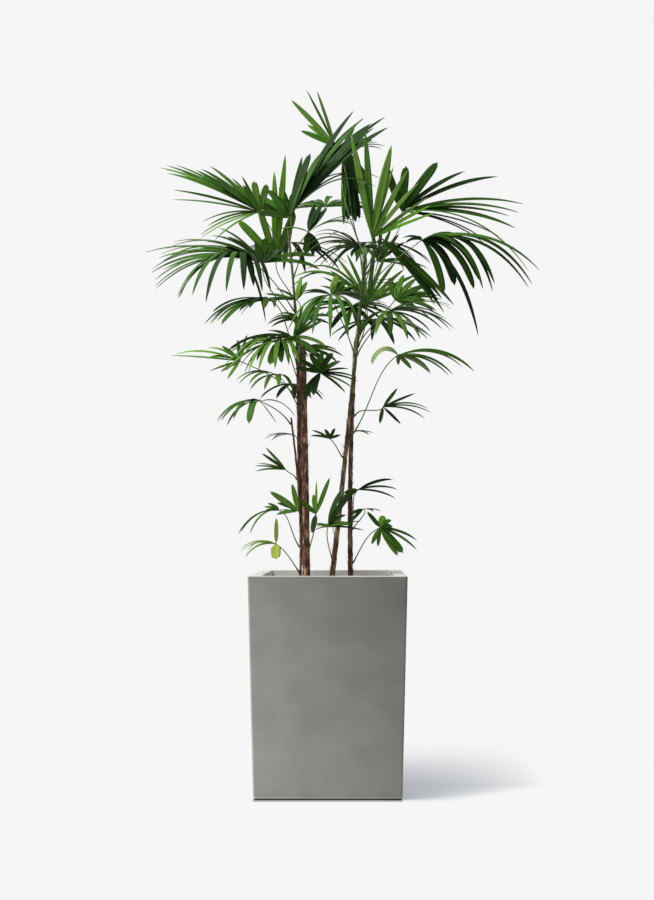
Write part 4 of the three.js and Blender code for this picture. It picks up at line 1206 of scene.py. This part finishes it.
class PALM_OT_soil(bpy.types.Operator):
    """Fill the planter with compost and strew bark on it"""

    bl_idname = "palm.soil"
    bl_label = "Soil"

    def execute(self, context):
        settings = context.scene.palm_planter
        low, high = (np.array(corner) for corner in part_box("soil"))
        cells, side = SOIL_CELLS, SOIL_CELLS + 1
        half = (high[0] - low[0]) / 2 - SOIL_CLEAR
        low_half = (high[0] - low[0]) / 2 - SOIL_NARROWER
        points, faces = [], []
        for j in range(side):
            for i in range(side):
                x, y = half * (2 * i / cells - 1), half * (2 * j / cells - 1)
                rough = SOIL_ROUGH * (chance(i + SOIL_DRAWS[0], j + SOIL_DRAWS[1]) - 0.5)
                edge = i in (0, cells) or j in (0, cells)
                points.append((x, y, high[2] - SOIL_SUNK + (0 if edge else rough)))
        for j in range(cells):
            for i in range(cells):
                a = j * side + i
                faces.append((a, a + 1, a + 1 + side, a + side))
        top = mesh_piece("soil_top", points, faces, [])
        chips = grown_over(
            top,
            chip_tree(compost("bark_chip", "#2b1c13", "#6b4a33")),
            {"Density": float(settings.chips), "Size": settings.chip_size, "Seed": CHIP_SEED},
            "bark_chips",
        )
        bpy.data.objects.remove(top)

        rim = list(range(side))
        rim += [j * side + cells for j in range(1, side)]
        rim += [cells * side + i for i in range(cells - 1, -1, -1)]
        rim += [j * side for j in range(cells - 1, 0, -1)]
        depth, n = len(points), len(rim)
        share = [(points[k][0] / half, points[k][1] / half) for k in rim]
        points += [(x * low_half, y * low_half, low[2]) for x, y in share]
        for k in range(n):
            b = (k + 1) % n
            faces.append((rim[b], rim[k], depth + k, depth + b))
        faces.append(tuple(reversed(range(depth, depth + n))))
        piece = mesh_piece("compost", points, faces, [compost("compost", "#1d130d", "#49321f")])
        for part in (piece, chips):
            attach(part, BODY)
        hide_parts("soil")
        return {"FINISHED"}


# Stage

# Places, in metres
KEY_PLACE, BACK_PLACE = (-1.76, -0.5, 3.3), (0.5, 2.9, 1.9)
LIGHT_AIM, LIGHT_SIZE = (0.0, 0.0, 0.8), 1.4
DOME_BRIGHTEST, DOME_DARK_FROM = (-0.5, -0.2, 0.84), -0.6
CAMERA_PLACE, CAMERA_SHIFT = (0.058, -2.475, 0.6015), (-0.03, 0.0867)
FLOOR = ((-8, -8, 0), (8, -8, 0), (8, 8, 0), (-8, 8, 0))  # its corners
PAPER_TINT = (0.9, 1.0, 1.14)  # the floor's colour, slightly cool; it shows only within the shadow's mask, where it paints the shadow bluish

# The shadow on the floor, in metres from the middle: a mask paints its outline, and within it the
# paper takes the real shadow
FOOT = 0.165  # half the planter's width there
SHADOW_DEEP = (-0.03, 0.5)  # from where it fades towards the back, and where it is gone
SHADOW_FRONT = (-0.185, -0.16)  # its soft front edge
SHADOW_REACH = (0.13, 0.36)  # from the planter's side, at the front corner and further back
SHADOW_INWARD = 0.08  # from where it grows towards that side
SHADOW_POWER = 2.2  # how late it fades on its way out
# A painted contact shadow under the planter's edges
CONTACT_SHADOW_ACROSS, CONTACT_SHADOW_DEEP = (0.162, 0.006), (0.169, 0.016)  # half and soft end of its line
CONTACT_SHADOW_SHARE = 0.7


class PALM_OT_stage(bpy.types.Operator):
    """Set the floor, the light and the camera"""

    bl_idname = "palm.stage"
    bl_label = "Stage"

    def execute(self, context):
        settings = context.scene.palm_stage
        scene = context.scene
        scene.view_settings.view_transform = "Standard"
        scene.world = self.dome(settings)

        floor = mesh_piece("floor", FLOOR, [(0, 1, 2, 3)], [self.floor_material(settings)])

        self.disc_light(scene, "key", KEY_PLACE, settings.key)
        self.disc_light(scene, "back", BACK_PLACE, settings.back)

        data = bpy.data.cameras.new("camera")
        data.lens = settings.lens
        data.shift_x, data.shift_y = CAMERA_SHIFT
        camera = bpy.data.objects.new("camera", data)
        camera.location = CAMERA_PLACE
        camera.rotation_euler = (math.pi / 2, 0.0, 0.0)
        scene.collection.objects.link(camera)
        scene.camera = camera
        return {"FINISHED"}

    def disc_light(self, scene, name, place, power):
        """A soft round light that points at the plant."""
        lamp = bpy.data.lights.new(name, "AREA")
        lamp.shape = "DISK"
        lamp.size = LIGHT_SIZE
        lamp.energy = power
        light = bpy.data.objects.new(name, lamp)
        light.location = place
        x, y, z = aim = np.array(LIGHT_AIM) - np.array(place)
        tilt = math.acos(-z / np.linalg.norm(aim))
        light.rotation_euler = (tilt, 0.0, math.atan2(y, x) - math.pi / 2)
        scene.collection.objects.link(light)

    def dome(self, settings):
        """An even backdrop to the eye; as a light, a dome brightest from the upper left."""
        world = bpy.data.worlds.new("studio")
        world.use_nodes = True
        tree = world.node_tree
        way = add(tree, "ShaderNodeTexCoord").outputs["Generated"]
        facing = vectors(tree, "DOT_PRODUCT", way, DOME_BRIGHTEST)
        light = ramp(tree, facing, DOME_DARK_FROM, 1.0, settings.dome_low, settings.dome_high)
        self.seen_or_lit(tree, settings.backdrop, light, tree.nodes["Background"])
        return world

    def seen_or_lit(self, tree, seen, lit, shader):
        """Sets a glow's strength: one value to the camera, another as a light."""
        path = add(tree, "ShaderNodeLightPath")
        strength = add(tree, "ShaderNodeMix", {0: path.outputs["Is Camera Ray"], 2: lit, 3: seen})
        shader.inputs["Color"].default_value = (1.0, 1.0, 1.0, 1.0)
        tree.links.new(strength.outputs[0], shader.inputs["Strength"])

    def shadow(self, tree, across, deep, most):
        """The share of lit paper: a mask that paints the outline of the planter's shadow at its
        right, within which the paper takes the real shadow.
        """
        low, high = SHADOW_DEEP
        # it reaches less far from the planter's side towards the front corner
        reach = ramp(tree, deep, -FOOT, low, *SHADOW_REACH)
        far = maths(tree, "DIVIDE", maths(tree, "SUBTRACT", across, FOOT), reach)
        bent = maths(tree, "POWER", maths(tree, "MAXIMUM", far, 0.0), SHADOW_POWER)
        side = maths(tree, "MAXIMUM", maths(tree, "SUBTRACT", 1.0, bent), 0.0)
        back, front = ramp(tree, deep, low, high, 1.0, 0.0), ramp(tree, deep, *SHADOW_FRONT)
        depth = maths(tree, "MULTIPLY", back, front)
        inward = ramp(tree, across, SHADOW_INWARD, FOOT, 0.0, most)
        return maths(tree, "MULTIPLY", maths(tree, "MULTIPLY", side, depth), inward)

    def strip(self, tree, value, half, soft):
        """One up to half to either side of the middle, then a soft end."""
        low = ramp(tree, value, -half - soft, -half)
        return maths(tree, "MULTIPLY", low, ramp(tree, value, half, half + soft, 1.0, 0.0))

    def floor_material(self, settings):
        """White studio paper; within a painted mask it takes the planter's shadow at the right,
        under the planter's edges it has a painted contact shadow, and it glows elsewhere.
        """
        looks = {"roughness": 1.0, "Specular_IOR_Level": 0.0}
        material, tree, shader = new_material("studio_paper", **looks)
        shadow_tinted_paper = (*(settings.paper * part for part in PAPER_TINT), 1.0)
        shader.inputs["Base Color"].default_value = shadow_tinted_paper
        across, deep, _ = xyz(tree, add(tree, "ShaderNodeTexCoord").outputs["Object"])
        glow = add(tree, "ShaderNodeEmission")
        self.seen_or_lit(tree, settings.backdrop, settings.bounce, glow)
        shade = self.shadow(tree, across, deep, settings.shadow)
        inputs = {0: shade, 1: glow.outputs[0], 2: shader.outputs[0]}
        lit = add(tree, "ShaderNodeMixShader", inputs)

        # painted contact shadow: a dark line on the floor under the planter's edges
        dark = add(tree, "ShaderNodeBsdfDiffuse", {"Color": linear("#2a2927")})
        line = self.strip(tree, across, *CONTACT_SHADOW_ACROSS)
        near = maths(tree, "MULTIPLY", line, self.strip(tree, deep, *CONTACT_SHADOW_DEEP))
        share = maths(tree, "MULTIPLY", near, CONTACT_SHADOW_SHARE)
        inputs = {0: share, 1: lit.outputs[0], 2: dark.outputs[0]}
        contact_shadowed = add(tree, "ShaderNodeMixShader", inputs)
        tree.links.new(contact_shadowed.outputs[0], tree.nodes["Material Output"].inputs["Surface"])
        return material


class PALM_PT_panel(bpy.types.Panel):
    """Steps and sizes of the palm"""

    bl_idname = "PALM_PT_panel"
    bl_label = "Potted Lady Palm"
    bl_space_type = "VIEW_3D"
    bl_region_type = "UI"
    bl_category = "Palm"

    def draw(self, context):
        scene = context.scene
        for operator, group in (
            (PALM_OT_leaves, scene.palm_leaves),
            (PALM_OT_canes, scene.palm_canes),
            (PALM_OT_planter, scene.palm_planter),
            (PALM_OT_soil, None),
            (PALM_OT_stage, scene.palm_stage),
        ):
            box = self.layout.box()
            box.operator(operator.bl_idname)
            for key in group.__annotations__ if group else ():
                box.prop(group, key)


GROUPS = {
    "palm_planter": PalmPlanter,
    "palm_canes": PalmCanes,
    "palm_leaves": PalmLeaves,
    "palm_stage": PalmStage,
}
OPERATORS = (PALM_OT_stage, PALM_OT_planter, PALM_OT_soil, PALM_OT_canes, PALM_OT_leaves)


def register():
    for group in GROUPS.values():
        bpy.utils.register_class(group)
    for name, group in GROUPS.items():
        setattr(bpy.types.Scene, name, PointerProperty(type=group))
    for cls in (*OPERATORS, PALM_PT_panel):
        bpy.utils.register_class(cls)


def unregister():
    for cls in (PALM_PT_panel, *reversed(OPERATORS)):
        bpy.utils.unregister_class(cls)
    for name in GROUPS:
        delattr(bpy.types.Scene, name)
    for group in reversed(list(GROUPS.values())):
        bpy.utils.unregister_class(group)


def main():
    register()
    for operator in OPERATORS:
        family, name = operator.bl_idname.split(".")
        getattr(getattr(bpy.ops, family), name)()
    bpy.context.view_layer.update()


if __name__ == "__main__":
    main()
